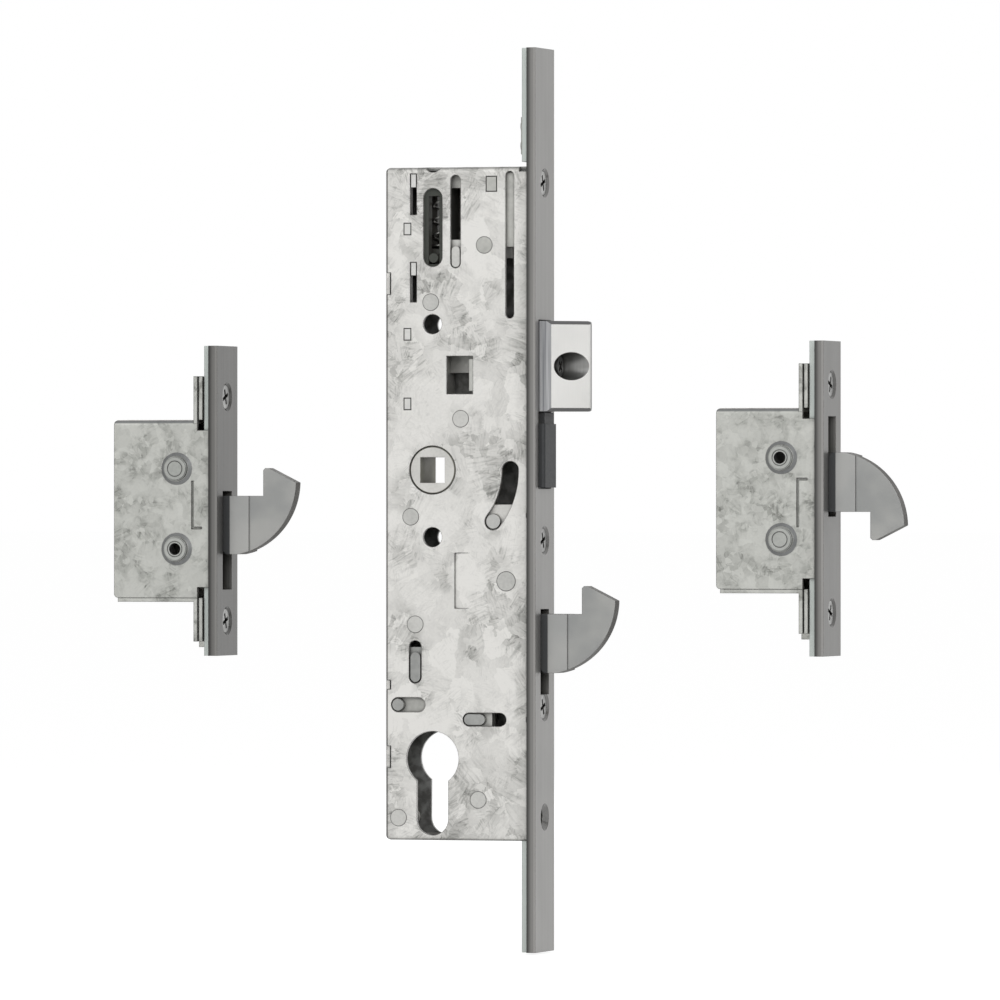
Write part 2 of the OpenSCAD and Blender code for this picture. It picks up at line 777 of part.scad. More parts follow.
module rear_strip() {
    strip_edge = rear_slots[0][0] + rear_slots[0][2] / 2;
    color("#d0d0ca") {
        difference() {
            block(
                [rear_strip_lo.x, -y_in, rear_strip_lo.y],
                [strip_edge, -y_in + slide_t, rear_slots[0][1] + 6.4]
            );
            along_y(-far, far) for (place = rear_slots)
                rect([place[0] - place[2] / 2, place[1] - place[3] / 2], [far, place[1] + rear_tongue_low]);
        }
        for (place = tenon_places) along_y(-y_out - 0.05, -y_in + eps) rect_at(place, tenon_size);
        for (place = rear_slots) along_y(-y_out + 0.1, -y_in + eps)
            rect(
                [place[0] - 0.8, place[1] + rear_tongue_low],
                [place[0] + 0.8, place[1] + place[3] / 2 - 0.2]
            );
    }
}

module upper_guide_block() {
    color("#bdbdb6") {
        stop_y = guide_foot.y + 2 * slide_gap - y_in;
        block([block_x[0], -y_in, guide_rivet.y - block_under], [block_x[1], mid_y, block_top]);
        block(
            [guide_pin_at.x - guide_foot.x / 2, stop_y, guide_stop_low],
            [block_x[0] + eps, stop_y + guide_stop_t, block_top]
        );
        block(
            [block_x[1] - eps, -y_in, guide_rivet.y - 0.6],
            [rail_slot[0] + rail_slot[3] + 1.2, -y_in + slide_t, block_top]
        );
        pin_y(guide_rivet, rivet_r, -y_out - 0.1, -y_in + eps);
        along_y(-y_out - 0.05, -y_in + eps)
            rect_at([block_tenon[0], block_tenon[1]], [block_tenon[2], block_tenon[3]]);
    }
}

module centre_screws() {
    color("#b9bab8") translate([front, 0, 0]) for (z = screw_z) screw_x([0, z], screw_len);
}

// Drawing of the pad at the end of the hub's arm, which stands close behind the curved slot
module arm_pad() {
    difference() {
        intersection() {
            circle(arm_pad_r[1]);
            polygon([
                [0, 0],
                2 * arm_r * [cos(arm_pad_back), sin(arm_pad_back)],
                2 * arm_r * [1, sin(arm_pad_back)],
                2 * arm_r * [1, 0]
            ]);
            rect([0, -far], [far, arm_pad_top]);
        }
        circle(arm_pad_r[0]);
    }
}

// Near half of the hub's journal, with its rim chamfered
module hub_journal() {
    pin_y([0, 0], hub_d / 2, hub_chamfer - y_out, eps);
    translate([0, hub_chamfer - y_out + eps, 0]) rotate([90, 0, 0])
        cylinder(r1 = hub_d / 2, r2 = hub_d / 2 - hub_chamfer, h = hub_chamfer + eps);
}

module spindle_hub() {
    color("#a8a89c") difference() {
        union() {
            for (side = [0, 180]) rotate([0, 0, side]) hub_journal();
            pin_y([0, 0], hub_barrel_r, -hub_barrel_y, hub_barrel_y);
            along_y(-arm_half_y, arm_half_y) {
                slot([0, 0], arm_pin_at, arm_w / 2);
                slot([0, 0], latch_nose_at, latch_neck_r);
                translate(latch_nose_at) circle(latch_nose_r);
            }
            along_y(-hub_barrel_y, arm_pad_lap - arm_half_y) arm_pad();
        }
        along_y(-far, far) rect_at([0, 0], spindle_square * [1, 1]);
        pin_y(arm_pin_at, arm_pin_r + seat_gap, -far, far);
    }
}

module hub_drive_pin() {
    color("#c2c2bc") pin_y(arm_pin_at, arm_pin_r, -y_out + 0.2, far_hi);
}

module drive_slide() {
    color("#c3c7ba") difference() {
        union() {
            along_y(far_lo, far_hi) {
                rect([strip_lo, cross_arm[0]], [strip_hi, cam_from.y + cam_slot_r + cam_wall]);
                rect([strip_lo, cross_arm[0]], [foot_lo + foot_t, cross_arm[1]]);
                translate(centre_pin_at) circle(drive_pin_r + 2.4);
                rect(
                    [strip_lo, cam_to.y - cam_slot_r - cam_wall],
                    [cam_to.x + cam_slot_r + cam_wall, cam_from.y + cam_slot_r + cam_wall]
                );
                rect([stem_lo, cam_from.y], [stem_hi, bridge_top]);
                rect([guide_pin_at.x - guide_pin_w / 2 - 1, bridge_low], [foot_lo + foot_t, bridge_top]);
                rect(
                    [plunger_x - lug_w / 2, guide_pin_at.y - guide_pin_h / 2 - 1],
                    [guide_pin_at.x + guide_pin_w / 2 + 1, bridge_top]
                );
                rect([tongue_lo, bridge_low], [foot_lo + foot_t, upper_foot[1]]);
                rect([foot_lo - 2, lower_foot[0]], [foot_lo + foot_t, cross_arm[1]]);
            }
            for (z = [upper_foot, lower_foot])
                block([foot_lo, -foot_reach, z[0]], [rail_lo, far_hi, z[1]]);
        }
        along_y(far_lo - 1, far_hi + 1) {
            slot(cam_from, cam_to, cam_slot_r);
            translate(centre_pin_at) circle(drive_pin_r + seat_gap);
            slot_at(guide_pin_at, [guide_pin_w, guide_pin_h] + 2 * seat_gap * [1, 1]);
            translate([plunger_x, plunger_pin_z]) circle(plunger_pin_r + seat_gap);
        }
        rail_rivet_bars(rail_rivet_r + seat_gap);
    }
}

// Rivets that hold the slide's feet to the rails, as bars of this radius
module rail_rivet_bars(r) {
    for (foot = [upper_foot, lower_foot], share = rivet_shares)
        pin_x([0, foot[0] + share * (foot[1] - foot[0])], r, foot_lo - eps, rail_hi);
}

module rail_rivets() {
    head_r = rail_rivet_r + 0.4;
    color("#b5b5ae") {
        rail_rivet_bars(rail_rivet_r);
        for (foot = [upper_foot, lower_foot], share = rivet_shares)
            pin_x([0, foot[0] + share * (foot[1] - foot[0])], head_r, foot_lo - 0.7, foot_lo);
    }
}

module slide_guide_pin() {
    foot_y = slide_gap - y_in;
    low = guide_pin_at.y - guide_pin_h / 2 - guide_foot_over[0];
    high = guide_pin_at.y + guide_pin_h / 2 + guide_foot_over[1];
    color("#c8c8c2") {
        along_y(-y_out + 0.15, far_hi) slot_at(guide_pin_at, [guide_pin_w, guide_pin_h]);
        block(
            [guide_pin_at.x - guide_foot.x / 2, foot_y, low],
            [guide_pin_at.x + guide_foot.x / 2, foot_y + guide_foot.y, high]
        );
    }
}

module centre_hook_drive_pin() {
    color("#b0b0aa") pin_y(centre_pin_at, drive_pin_r, -hook_root_t / 2 + 0.4, far_hi);
}

module upper_rail() {
    color("#c6ccbd") difference() {
        block([rail_lo, -rail_w / 2, upper_rail_low], [rail_hi, rail_w / 2, faceplate_up]);
        rail_rivet_bars(rail_rivet_r + seat_gap);
    }
}

module lower_rail() {
    hole_r = cylinder_screw_d / 2 + 0.3;
    color("#c6ccbd") difference() {
        block([rail_lo, -rail_w / 2, -faceplate_down], [rail_hi, rail_w / 2, lower_rail_top]);
        rail_rivet_bars(rail_rivet_r + seat_gap);
        along_x(rail_lo - 1, rail_hi + 1)
            slot([0, cylinder_screw_z], [0, cylinder_screw_z - rail_travel], hole_r);
    }
}

module return_spring_housing() {
    color("#4a4f45") difference() {
        block([housing_lo.x, -y_in, housing_lo.y], [housing_hi.x, mid_y, housing_hi.y]);
        translate([plunger_x, plunger_y, plunger_z[0] - 1])
            cylinder(r = housing_bore_r, h = housing_hi.y - plunger_z[0] - 0.5);
        block(
            [plunger_x - plunger_slot_half, -far, plunger_z[0] + 1],
            [plunger_x + plunger_slot_half, far, plunger_pin_z + plunger_pin_r + rail_travel + slide_gap]
        );
    }
}

module return_plunger() {
    color("#8d8f88") {
        translate([plunger_x, plunger_y, plunger_z[0]])
            cylinder(r = plunger_r, h = plunger_z[1] - plunger_z[0]);
        pin_y([plunger_x, plunger_pin_z], plunger_pin_r, -y_in - 0.6, far_hi);
    }
}

module return_spring() {
    room = housing_hi.y - 1.5 - plunger_z[1];
    color("#8f8f8a") translate([plunger_x, plunger_y, plunger_z[1] + spring_end_gap])
        coil(housing_bore_r - 1, return_wire_r, room - 2 * spring_end_gap, 4);
}

module centre_hook() {
    color("#9a9b98") translate([centre_pivot.x, 0, centre_pivot.y])
        hook_solid(centre_pivot_back, centre_neck_drop);
}

module centre_hook_pivot() {
    color("#bcbcb6") {
        pin_y(centre_pivot, hook_pin_d / 2, -y_out - 0.1, y_out + 0.1);
        pin_y(centre_pivot, hook_pin_d / 2 + 0.5, -y_out - 0.1, -y_in);
        pin_y(centre_pivot, hook_pin_d / 2 + 0.5, y_in, y_out + 0.1);
    }
}

// Drawing in X and Y of the latch head, with its ramp on the near side
module latch_profile() {
    half = latch_t / 2;
    start = [front + latch_flank, -half];
    nose = [latch_tip - latch_nose_fillet, half - latch_nose_fillet];
    way = nose - start;
    turn = atan2(way.y, way.x) - asin(latch_nose_fillet / norm(way));
    run = sqrt(norm(way) * norm(way) - latch_nose_fillet * latch_nose_fillet);
    touch = start + run * [cos(turn), sin(turn)];
    polygon([[latch_in, -half], start, touch, nose, [nose.x, half], [latch_in, half]]);
    translate(nose) circle(latch_nose_fillet);
}

module latch_bolt() {
    half = latch_t / 2;
    ramp_turn = 45;
    bevel = latch_bevel * sqrt(2);
    color("#c9c9c7") difference() {
        intersection() {
            translate([0, 0, latch_up - latch_h / 2]) linear_extrude(latch_h) latch_profile();
            along_y(-latch_t, latch_t) round_rect(
                [latch_in - 2 * latch_corner_r, latch_up - latch_h / 2],
                [latch_tip, latch_up + latch_h / 2],
                latch_corner_r
            );
        }
        for (side = [-1, 1])
            translate([front + latch_flank, -half, latch_up + side * latch_h / 2])
                rotate([0, 0, ramp_turn]) rotate([45, 0, 0])
                block([-latch_flank, -bevel / 2, -bevel / 2], [latch_h, bevel / 2, bevel / 2]);
        pin_x(latch_pocket_at, latch_pocket_d / 2, latch_pocket_floor, latch_tip + 1);
        pin_x(latch_pocket_at, screw_d / 2, latch_screw_end, latch_pocket_floor + eps);
        block(
            [latch_in - 1, tail_y[0] - seat_gap, tail_z[0] - seat_gap],
            [latch_in + tail_tenon + seat_gap, tail_y[1] + seat_gap, tail_z[1] + seat_gap]
        );
    }
}

module latch_screw() {
    face = latch_pocket_floor + latch_head_h;
    color("#8e8f8d") difference() {
        union() {
            pin_x(latch_pocket_at, latch_head_r, latch_pocket_floor, face);
            pin_x(latch_pocket_at, screw_d / 2 - seat_gap, latch_screw_end + 0.4, latch_pocket_floor + eps);
        }
        for (turn = [45, 135]) translate([face, latch_pocket_at.x, latch_pocket_at.y]) rotate([turn, 0, 0])
            block(
                [-latch_recess.z, -latch_recess.x / 2, -latch_recess.y / 2],
                [1, latch_recess.x / 2, latch_recess.y / 2]
            );
    }
}

module latch_tail() {
    lug_low = latch_nose_at.y - latch_nose_r - slide_gap;
    color("#c0c0b9") {
        block([tail_lug_lo, tail_y[0], tail_z[0]], [latch_in + tail_tenon, tail_y[1], tail_z[1]]);
        block([tail_lug_lo, -arm_half_y, lug_low], [tail_lug_hi, tail_y[1], tail_z[1]]);
    }
}

module latch_spring() {
    from = spring_tab_hi + spring_end_gap;
    color("#90908b") translate([from, latch_spring_at.x, latch_spring_at.y]) rotate([0, 90, 0])
        coil(latch_spring_r, latch_wire_r, latch_in - spring_end_gap - from, 4);
}

module trigger() {
    half = trigger_w / 2;
    round = 1;
    color("#4d545c") difference() {
        union() {
            intersection() {
                block([trigger_relief, -half, trigger_lo], [front + trigger_reach, half, trigger_hi]);
                translate([0, 0, -far]) linear_extrude(2 * far)
                    round_rect([trigger_relief - 3, -half], [front + trigger_reach, half], round);
            }
            block(
                [trigger_relief, -half + 1.6, trigger_hi - eps],
                [front + trigger_reach - trigger_step, half - 1.6, latch_up - latch_h / 2 - slide_gap]
            );
            block(
                [trigger_back, -half + 1.4, trigger_stem_z - 3.4],
                [trigger_relief + eps, half - 1.4, trigger_hi - 0.4]
            );
            pin_x([0, trigger_stem_z], trigger_stem_r, guide_lo - clip_t - 1.1, trigger_back + eps);
        }
        pin_x([0, trigger_stem_z], trigger_stem_r + 1, guide_lo - clip_t - 0.15, guide_lo - 0.1);
    }
    color("#4d545c") pin_x([0, trigger_stem_z], trigger_stem_r - 0.5, guide_lo - clip_t - 0.2, guide_lo);
}

module trigger_guide() {
    wall = 1.9;
    reach = trigger_stem_r + wall;
    color("#b9b9b2") difference() {
        block([guide_lo, -y_in, trigger_stem_z - reach], [guide_hi, reach, trigger_stem_z + reach]);
        pin_x([0, trigger_stem_z], trigger_stem_r + run_gap, guide_lo - 1, guide_hi + 1);
    }
}

module trigger_clip() {
    color("#8a8a86") difference() {
        pin_x([0, trigger_stem_z], trigger_stem_r + 1.5, guide_lo - clip_t - 0.1, guide_lo - 0.15);
        pin_x([0, trigger_stem_z], trigger_stem_r - 0.5 + seat_gap, 0, guide_hi);
    }
}

module trigger_spring() {
    color("#90908b") translate([guide_hi + spring_end_gap, 0, trigger_stem_z]) rotate([0, 90, 0])
        coil(trigger_stem_r + 0.8, trigger_wire_r, trigger_back - guide_hi - 2 * spring_end_gap, 3);
}

module deadlock_slide() {
    rise_from = blocker_x - deadlock_throw;
    color("#c5c5bf") along_y(near_lo, near_hi) difference() {
        union() {
            rect([deadlock_left, deadlock_low], [deadlock_right, deadlock_top]);
            polygon([
                [deadlock_left, deadlock_top - 1],
                [blocker_x, deadlock_top - 1],
                [blocker_x, deadlock_top],
                [rise_from, deadlock_top + blocker_lift],
                [deadlock_left, deadlock_top + blocker_lift]
            ]);
        }
        translate(deadlock_pin_at) circle(deadlock_pin_r + seat_gap);
        slot_at(deadlock_bar_at, deadlock_bar + 2 * seat_gap * [1, 1]);
        slot([0, deadlock_low], [0, deadlock_low + key_notch[0]], key_notch[1]);
    }
}

module deadlock_pins() {
    color("#d2d2cc") {
        pin_y(deadlock_pin_at, deadlock_pin_r, -y_out - 0.4, near_hi);
        along_y(-y_out - 0.2, near_hi) slot_at(deadlock_bar_at, deadlock_bar);
    }
}

module key_blocker() {
    low = deadlock_top + wedge_gap;
    left = blocker_x - blocker_w / 2;
    right = blocker_x + blocker_w / 2;
    color("#cacac4") {
        along_y(near_lo, near_hi) polygon([
            [right, low], [blocker_x, low], [left, low + wedge_slope * blocker_w / 2],
            [left, blocker_top], [right, blocker_top]
        ]);
        along_y(-y_out + 0.1, near_lo + eps) slot_at([blocker_x, blocker_bar_z], blocker_bar);
    }
}

// Places a piece of a hook section: the section's own frame has its case centre at z = 0, its faceplate
// front at x = 0 and its hook at the top. The bottom section's works are turned upside down in a
// case that stands the same way up.
module place_top() {
    translate([front - top_offset, 0, top_case_z]) children();
}

module place_bottom_shell() {
    translate([front + bottom_offset, 0, bottom_case_z]) children();
}

module place_bottom() {
    place_bottom_shell() mirror([0, 0, 1]) children();
}

module side_faceplate(rise) {
    low = rise - side_faceplate_len / 2;
    color("#9c9c98") difference() {
        block([-faceplate_t, -faceplate_w / 2, low], [0, faceplate_w / 2, low + side_faceplate_len]);
        along_x(-faceplate_t - 1, 1) translate([0, side_pivot_z])
            hook_opening(side_pivot_back, side_neck_drop);
        for (side = [-1, 1]) screw_hole_x([0, side * side_screw_pitch / 2]);
    }
}

// Drawing in X and Z of a hook case's outline
module side_outline() {
    round_rect([-side_depth, -side_h / 2], [-faceplate_t, side_h / 2], case_corner_r);
}

// Case shell of a hook section, its hook above (1) or below (-1) the case centre
module side_cover(up) {
    top = side_h / 2;
    color("#cfcfc8") difference() {
        union() {
            intersection() {
                along_x(-side_depth, -faceplate_t) difference() {
                    channel(-far, top);
                    rect([-y_in, -far], [far, -top]);
                }
                along_y(-far, far) side_outline();
                union() {
                    along_y(-far, -rail_w / 2 - slide_gap) side_outline();
                    block([-side_depth, -far, -far], [ear_hi[1], far, far]);
                }
            }
            block(
                [-side_depth, -y_in - eps, -top + case_corner_r],
                [-side_depth + sheet_t, y_in, top - sheet_t + eps]
            );
            block([ear_hi[1] - sheet_t, -y_out, top - sheet_t], [ear_hi[1], y_in, top + ear_h]);
            for (z = boss_z) translate([-side_pivot_back, -y_out + eps, z]) rotate([90, 0, 0])
                cylinder(r1 = boss_r + boss_flare, r2 = boss_r + 0.3, h = boss_h + eps);
        }
        side_screw_bars(screw_d / 2 + seat_gap);
        for (z = boss_z) pin_y([-side_pivot_back, z], hook_pin_d / 2 + seat_gap, -far, 0);
        along_y(-y_out - 1, recess_depth - y_out) scale([1, up]) {
            rect([groove_x, groove_z[0]], [groove_x + groove_w, groove_z[1]]);
            rect([groove_x, groove_z[0]], [groove_x + groove_foot, groove_z[0] + groove_w]);
        }
        for (side = [0, 1]) mirror([0, 0, side])
            block([ear_hi[1] + eps, -far, top - ear_notch], [1, -rail_w / 2 - slide_gap + eps, far]);
    }
}

// Bars through the mounting ears where the faceplate screws pass
module side_screw_bars(r) {
    for (side = [-1, 1]) pin_x([0, side * side_screw_pitch / 2], r, -14, -faceplate_t + 1);
}

module side_backplate(up) {
    top = side_h / 2;
    lip = -top - seat_gap;
    color("#c4c4bd") difference() {
        union() {
            along_y(y_in + seat_gap, y_out) {
                side_outline();
                rect([lip_back, lip - sheet_t], [ear_hi[1], -top + eps]);
            }
            block([lip_back, -y_out, lip - sheet_t], [ear_hi[1], y_out, lip]);
            block([ear_hi[1] - sheet_t, -y_out, -top - ear_h], [ear_hi[1], y_out, lip]);
            for (side = [-1, 1]) {
                low = min(side * top, side * (top + ear_h));
                block([ear_hi[0] - sheet_t, -y_out + 0.6, low], [ear_hi[0], y_out, low + ear_h]);
                block([ear_web, y_in + seat_gap, low - 2], [ear_hi[0], y_out, low + ear_h]);
            }
        }
        side_screw_bars(screw_d / 2 + seat_gap);
        pin_y([-side_pivot_back, up * side_pivot_z], hook_pin_d / 2 + seat_gap, 0, far);
    }
}

module side_hook() {
    color("#9a9b98") translate([-side_pivot_back, 0, side_pivot_z])
        hook_solid(side_pivot_back, side_neck_drop);
}

// Flat rivet head standing on the cover's raised boss
module boss_head(at) {
    top = -y_out - boss_h - head_h;
    difference() {
        union() {
            pin_y(at, boss_r, top + 0.3, -y_out - boss_h);
            pin_y(at, boss_r - 0.3, top, -y_out - boss_h);
        }
        difference() {
            pin_y(at, boss_r * 0.66, top - 1, top + 0.25);
            pin_y(at, boss_r * 0.6, top - 2, top + 1);
        }
    }
}

module side_hook_pivot() {
    at = [-side_pivot_back, side_pivot_z];
    color("#c2c3be") {
        pin_y(at, hook_pin_d / 2, -y_out - boss_h - eps, y_out + 0.1);
        boss_head(at);
    }
}

module side_eyelet() {
    at = [-side_pivot_back, side_pivot_z - eyelet_pitch];
    color("#c2c3be") difference() {
        union() {
            pin_y(at, hook_pin_d / 2, -y_out - boss_h - eps, -y_in + 0.9);
            boss_head(at);
        }
        pin_y(at, 1.9, -far, 0);
    }
}

module side_rail(rise) {
    low = rise - side_faceplate_len / 2;
    window_top = side_pivot_z + hook_shoulder(side_pivot_back, side_neck_drop, rail_lo - front) + 0.8;
    hole_half = screw_d / 2 + 0.5;
    color("#c6ccbd") difference() {
        block(
            [rail_lo - front, -rail_w / 2, low],
            [rail_hi - front, rail_w / 2, low + side_faceplate_len]
        );
        along_x(-far, 0) {
            rect([-hook_slot_half, -far], [hook_slot_half, window_top]);
            slot(
                [0, side_screw_pitch / 2 + 0.4], [0, side_screw_pitch / 2 - rail_travel - 0.4],
                hole_half
            );
        }
        drive_plate_shape(seat_gap);
    }
}

// Flat drive plate behind the hook, grown by a clearance where the rail is notched for it
module drive_plate_shape(grow) {
    left = plate_lo;
    pin_z = side_pivot_z - rail_travel / 2;
    bridge = side_pivot_z * [1, 1] + side_bridge;
    along_y(far_lo - grow, far_hi + 2 * grow) {
        rect([left, bridge[0]], [left + drive_plate_w, pin_z + drive_plate_over]);
        rect([left, bridge[0] - grow], [rail_hi - front + grow, bridge[1] + grow]);
    }
}

module side_drive_plate() {
    pin_at = [-side_pivot_back - tail_back, side_pivot_z - rail_travel / 2];
    color("#b9bdb0") difference() {
        drive_plate_shape(0);
        pin_y(pin_at, drive_pin_r + seat_gap, 0, far);
    }
}

module side_drive_pin() {
    pin_at = [-side_pivot_back - tail_back, side_pivot_z - rail_travel / 2];
    color("#b0b0aa") pin_y(pin_at, drive_pin_r, -hook_root_t / 2 + 0.4, far_hi);
}

module side_screws() {
    color("#b9bab8") for (side = [-1, 1]) screw_x([0, side * side_screw_pitch / 2], side_screw_len);
}

centre_faceplate();
centre_cover();
centre_backplate();
case_pillars();
rear_strip();
upper_guide_block();
latch_spring_seat();
centre_screws();
spindle_hub();
hub_drive_pin();
drive_slide();
rail_rivets();
slide_guide_pin();
centre_hook_drive_pin();
upper_rail();
lower_rail();
return_spring_housing();
return_plunger();
return_spring();
centre_hook();
centre_hook_pivot();
latch_bolt();
latch_screw();
latch_tail();
latch_spring();
trigger();
trigger_guide();
trigger_clip();
trigger_spring();
deadlock_slide();
deadlock_pins();
key_blocker();
place_top() side_faceplate(top_plate_rise);  // top_faceplate
place_top() side_cover(1);  // top_cover
place_top() side_backplate(1);  // top_backplate
place_top() side_hook();  // top_hook
place_top() side_hook_pivot();  // top_hook_pivot
place_top() side_eyelet();  // top_eyelet
place_top() side_rail(top_plate_rise);  // top_rail
place_top() side_drive_plate();  // top_drive_plate
place_top() side_drive_pin();  // top_drive_pin
place_top() side_screws();  // top_screws
place_bottom() side_faceplate(0);  // bottom_faceplate
place_bottom_shell() side_cover(-1);  // bottom_cover
place_bottom_shell() side_backplate(-1);  // bottom_backplate
place_bottom() side_hook();  // bottom_hook
place_bottom() side_hook_pivot();  // bottom_hook_pivot
place_bottom() side_eyelet();  // bottom_eyelet
place_bottom() side_rail(0);  // bottom_rail
place_bottom() side_drive_plate();  // bottom_drive_plate
place_bottom() side_drive_pin();  // bottom_drive_pin
place_bottom() side_screws();  // bottom_screws
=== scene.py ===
"""Looks of a multipoint door lock: galvanised cases, brushed faceplates, satin hooks and a nickel latch."""
import math

import bmesh
import bpy
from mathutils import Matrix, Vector


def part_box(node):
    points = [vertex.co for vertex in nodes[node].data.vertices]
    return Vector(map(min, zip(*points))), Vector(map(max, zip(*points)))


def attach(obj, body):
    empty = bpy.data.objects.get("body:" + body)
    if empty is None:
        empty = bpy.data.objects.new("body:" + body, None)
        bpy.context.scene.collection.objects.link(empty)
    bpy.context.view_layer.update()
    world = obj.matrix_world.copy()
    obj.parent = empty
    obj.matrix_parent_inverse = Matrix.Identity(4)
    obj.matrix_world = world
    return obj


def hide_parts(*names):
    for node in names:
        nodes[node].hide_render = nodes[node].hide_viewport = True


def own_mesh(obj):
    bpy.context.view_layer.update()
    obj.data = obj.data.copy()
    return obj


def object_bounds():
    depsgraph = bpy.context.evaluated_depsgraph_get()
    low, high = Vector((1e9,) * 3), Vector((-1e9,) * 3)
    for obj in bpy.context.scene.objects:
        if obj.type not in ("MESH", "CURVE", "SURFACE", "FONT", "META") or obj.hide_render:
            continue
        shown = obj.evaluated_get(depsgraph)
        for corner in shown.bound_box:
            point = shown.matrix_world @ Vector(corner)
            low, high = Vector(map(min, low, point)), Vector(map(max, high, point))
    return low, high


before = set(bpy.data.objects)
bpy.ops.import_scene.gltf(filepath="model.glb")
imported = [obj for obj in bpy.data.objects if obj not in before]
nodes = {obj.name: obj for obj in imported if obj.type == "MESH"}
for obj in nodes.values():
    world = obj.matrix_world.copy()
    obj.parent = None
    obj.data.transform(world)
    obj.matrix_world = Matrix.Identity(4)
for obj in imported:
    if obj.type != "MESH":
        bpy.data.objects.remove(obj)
cad_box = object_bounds()
scene = bpy.context.scene

MM = 0.001
# Places in the lock's own frame, in millimetres: the faceplates' fronts and the gearbox cover's outer face.
FRONT_X = {"centre": 35.0, "top": -72.0, "bottom": 130.0}
COVER_Y = -8.0


def scaled(values, factor):
    return tuple(factor * v for v in values)


class Shade:
    """A procedural metal or plastic: a Principled shader with helpers for its texture nodes, in millimetres."""

    RAY_SAMPLES = 6
    # Painted shade: places shut in by other metal go towards a dark tone.
    SHUT_REACH, SHUT_SHARE, SHUT_TONE = 18, 0.6, (0.11, 0.102, 0.092)

    def __init__(self, name, metallic=0.0):
        self.mat = bpy.data.materials.new(name)
        self.mat.use_nodes = True
        self.tree = self.mat.node_tree
        self.tree.nodes.clear()
        out = self.new("OutputMaterial")
        self.bsdf = self.new("BsdfPrincipled")
        self.bsdf.inputs["Metallic"].default_value = metallic
        self.tree.links.new(self.bsdf.outputs[0], out.inputs[0])
        coords = self.new("TexCoord")
        self.normal = self.split(coords.outputs["Normal"])
        self.at = self.vmath("SCALE", coords.outputs["Object"], scale=1 / MM)
        self.x, self.y, self.z = self.split(self.at)

    def new(self, kind):
        return self.tree.nodes.new("ShaderNode" + kind)

    def plug(self, socket, value):
        """Links a socket, or sets a number or colour on it."""
        if isinstance(value, bpy.types.NodeSocket):
            self.tree.links.new(value, socket)
        elif isinstance(value, tuple) and socket.type == "RGBA":
            socket.default_value = (*value, 1)
        else:
            socket.default_value = value

    def math(self, op, a, b=0.0, clamp=False):
        n = self.new("Math")
        n.operation = op
        n.use_clamp = clamp
        self.plug(n.inputs[0], a)
        self.plug(n.inputs[1], b)
        return n.outputs[0]

    def add(self, total, part, weight):
        """A total plus a weighted part."""
        return self.math("ADD", total, self.math("MULTIPLY", part, weight))

    def vary(self, noise, amount):
        """A factor about 1 that follows a noise."""
        centred = self.math("SUBTRACT", noise, 0.5)
        return self.math("ADD", self.math("MULTIPLY", centred, amount), 1.0)

    def vmath(self, op, a, b=None, scale=None):
        n = self.new("VectorMath")
        n.operation = op
        self.plug(n.inputs[0], a)
        if b is not None:
            self.plug(n.inputs[1], b)
        if scale is not None:
            self.plug(n.inputs["Scale"], scale)
        return n.outputs["Value" if op == "DOT_PRODUCT" else "Vector"]

    def split(self, vector):
        n = self.new("SeparateXYZ")
        self.plug(n.inputs[0], vector)
        return n.outputs[0], n.outputs[1], n.outputs[2]

    def facing(self, axis):
        """1 where the surface looks along an axis, either way, and 0 where it lies along it."""
        return self.math("ABSOLUTE", self.normal[axis])

    def noise(self, sizes, detail=3.0, roughness=0.55, distortion=0.0, at=None, colour=False):
        """Noise with a grain size for each axis."""
        n = self.new("TexNoise")
        self.plug(n.inputs["Vector"], self.vmath("DIVIDE", at or self.at, sizes))
        n.inputs["Scale"].default_value = 1.0
        n.inputs["Detail"].default_value = detail
        n.inputs["Roughness"].default_value = roughness
        n.inputs["Distortion"].default_value = distortion
        return n.outputs["Color" if colour else "Fac"]

    def cells(self, at, size):
        """Three random numbers for each crystal."""
        n = self.new("TexVoronoi")
        self.plug(n.inputs["Vector"], self.vmath("DIVIDE", at, (size,) * 3))
        n.inputs["Scale"].default_value = 1.0
        return self.split(n.outputs["Color"])

    def span(self, value, low, high, to_low=0.0, to_high=1.0):
        """Smooth step between two values."""
        n = self.new("MapRange")
        n.interpolation_type = "SMOOTHSTEP"
        self.plug(n.inputs["Value"], value)
        n.inputs["From Min"].default_value = low
        n.inputs["From Max"].default_value = high
        n.inputs["To Min"].default_value = to_low
        n.inputs["To Max"].default_value = to_high
        return n.outputs[0]

    def mix(self, share, a, b):
        n = self.new("Mix")
        n.data_type = "RGBA"
        self.plug(n.inputs[0], share)
        self.plug(n.inputs[6], a)
        self.plug(n.inputs[7], b)
        return n.outputs[2]

    def spin(self, share):
        """Coordinates turned about Y by a share of a full turn."""
        full_turn = 6.28
        n = self.new("VectorRotate")
        n.rotation_type = "Y_AXIS"
        self.plug(n.inputs["Vector"], self.at)
        self.plug(n.inputs["Angle"], self.math("MULTIPLY", share, full_turn))
        return n.outputs[0]

    def occlusion(self, reach):
        n = self.new("AmbientOcclusion")
        n.samples = self.RAY_SAMPLES
        n.inputs["Distance"].default_value = reach * MM
        return n.outputs["AO"]

    def crevice_shade(self, colour, reach, share, dark, start=0.85):
        """The colour with painted shade: darker where other faces come near."""
        return self.mix(self.span(self.occlusion(reach), start, 0.3, 0.0, share), colour, dark)

    def rim(self, colour, radius, share, painted_edge):
        """The colour with another one painted on its edges, and a normal that is softened there. A dark edge tone is
        a painted shaded outline and a pale one a painted highlight.
        """
        n = self.new("Bevel")
        n.samples = self.RAY_SAMPLES
        n.inputs["Radius"].default_value = radius * MM
        flat = self.new("NewGeometry").outputs["Normal"]
        edge = self.span(self.vmath("DOT_PRODUCT", n.outputs[0], flat), 0.995, 0.9)
        return self.mix(self.math("MULTIPLY", edge, share), colour, painted_edge), n.outputs[0]

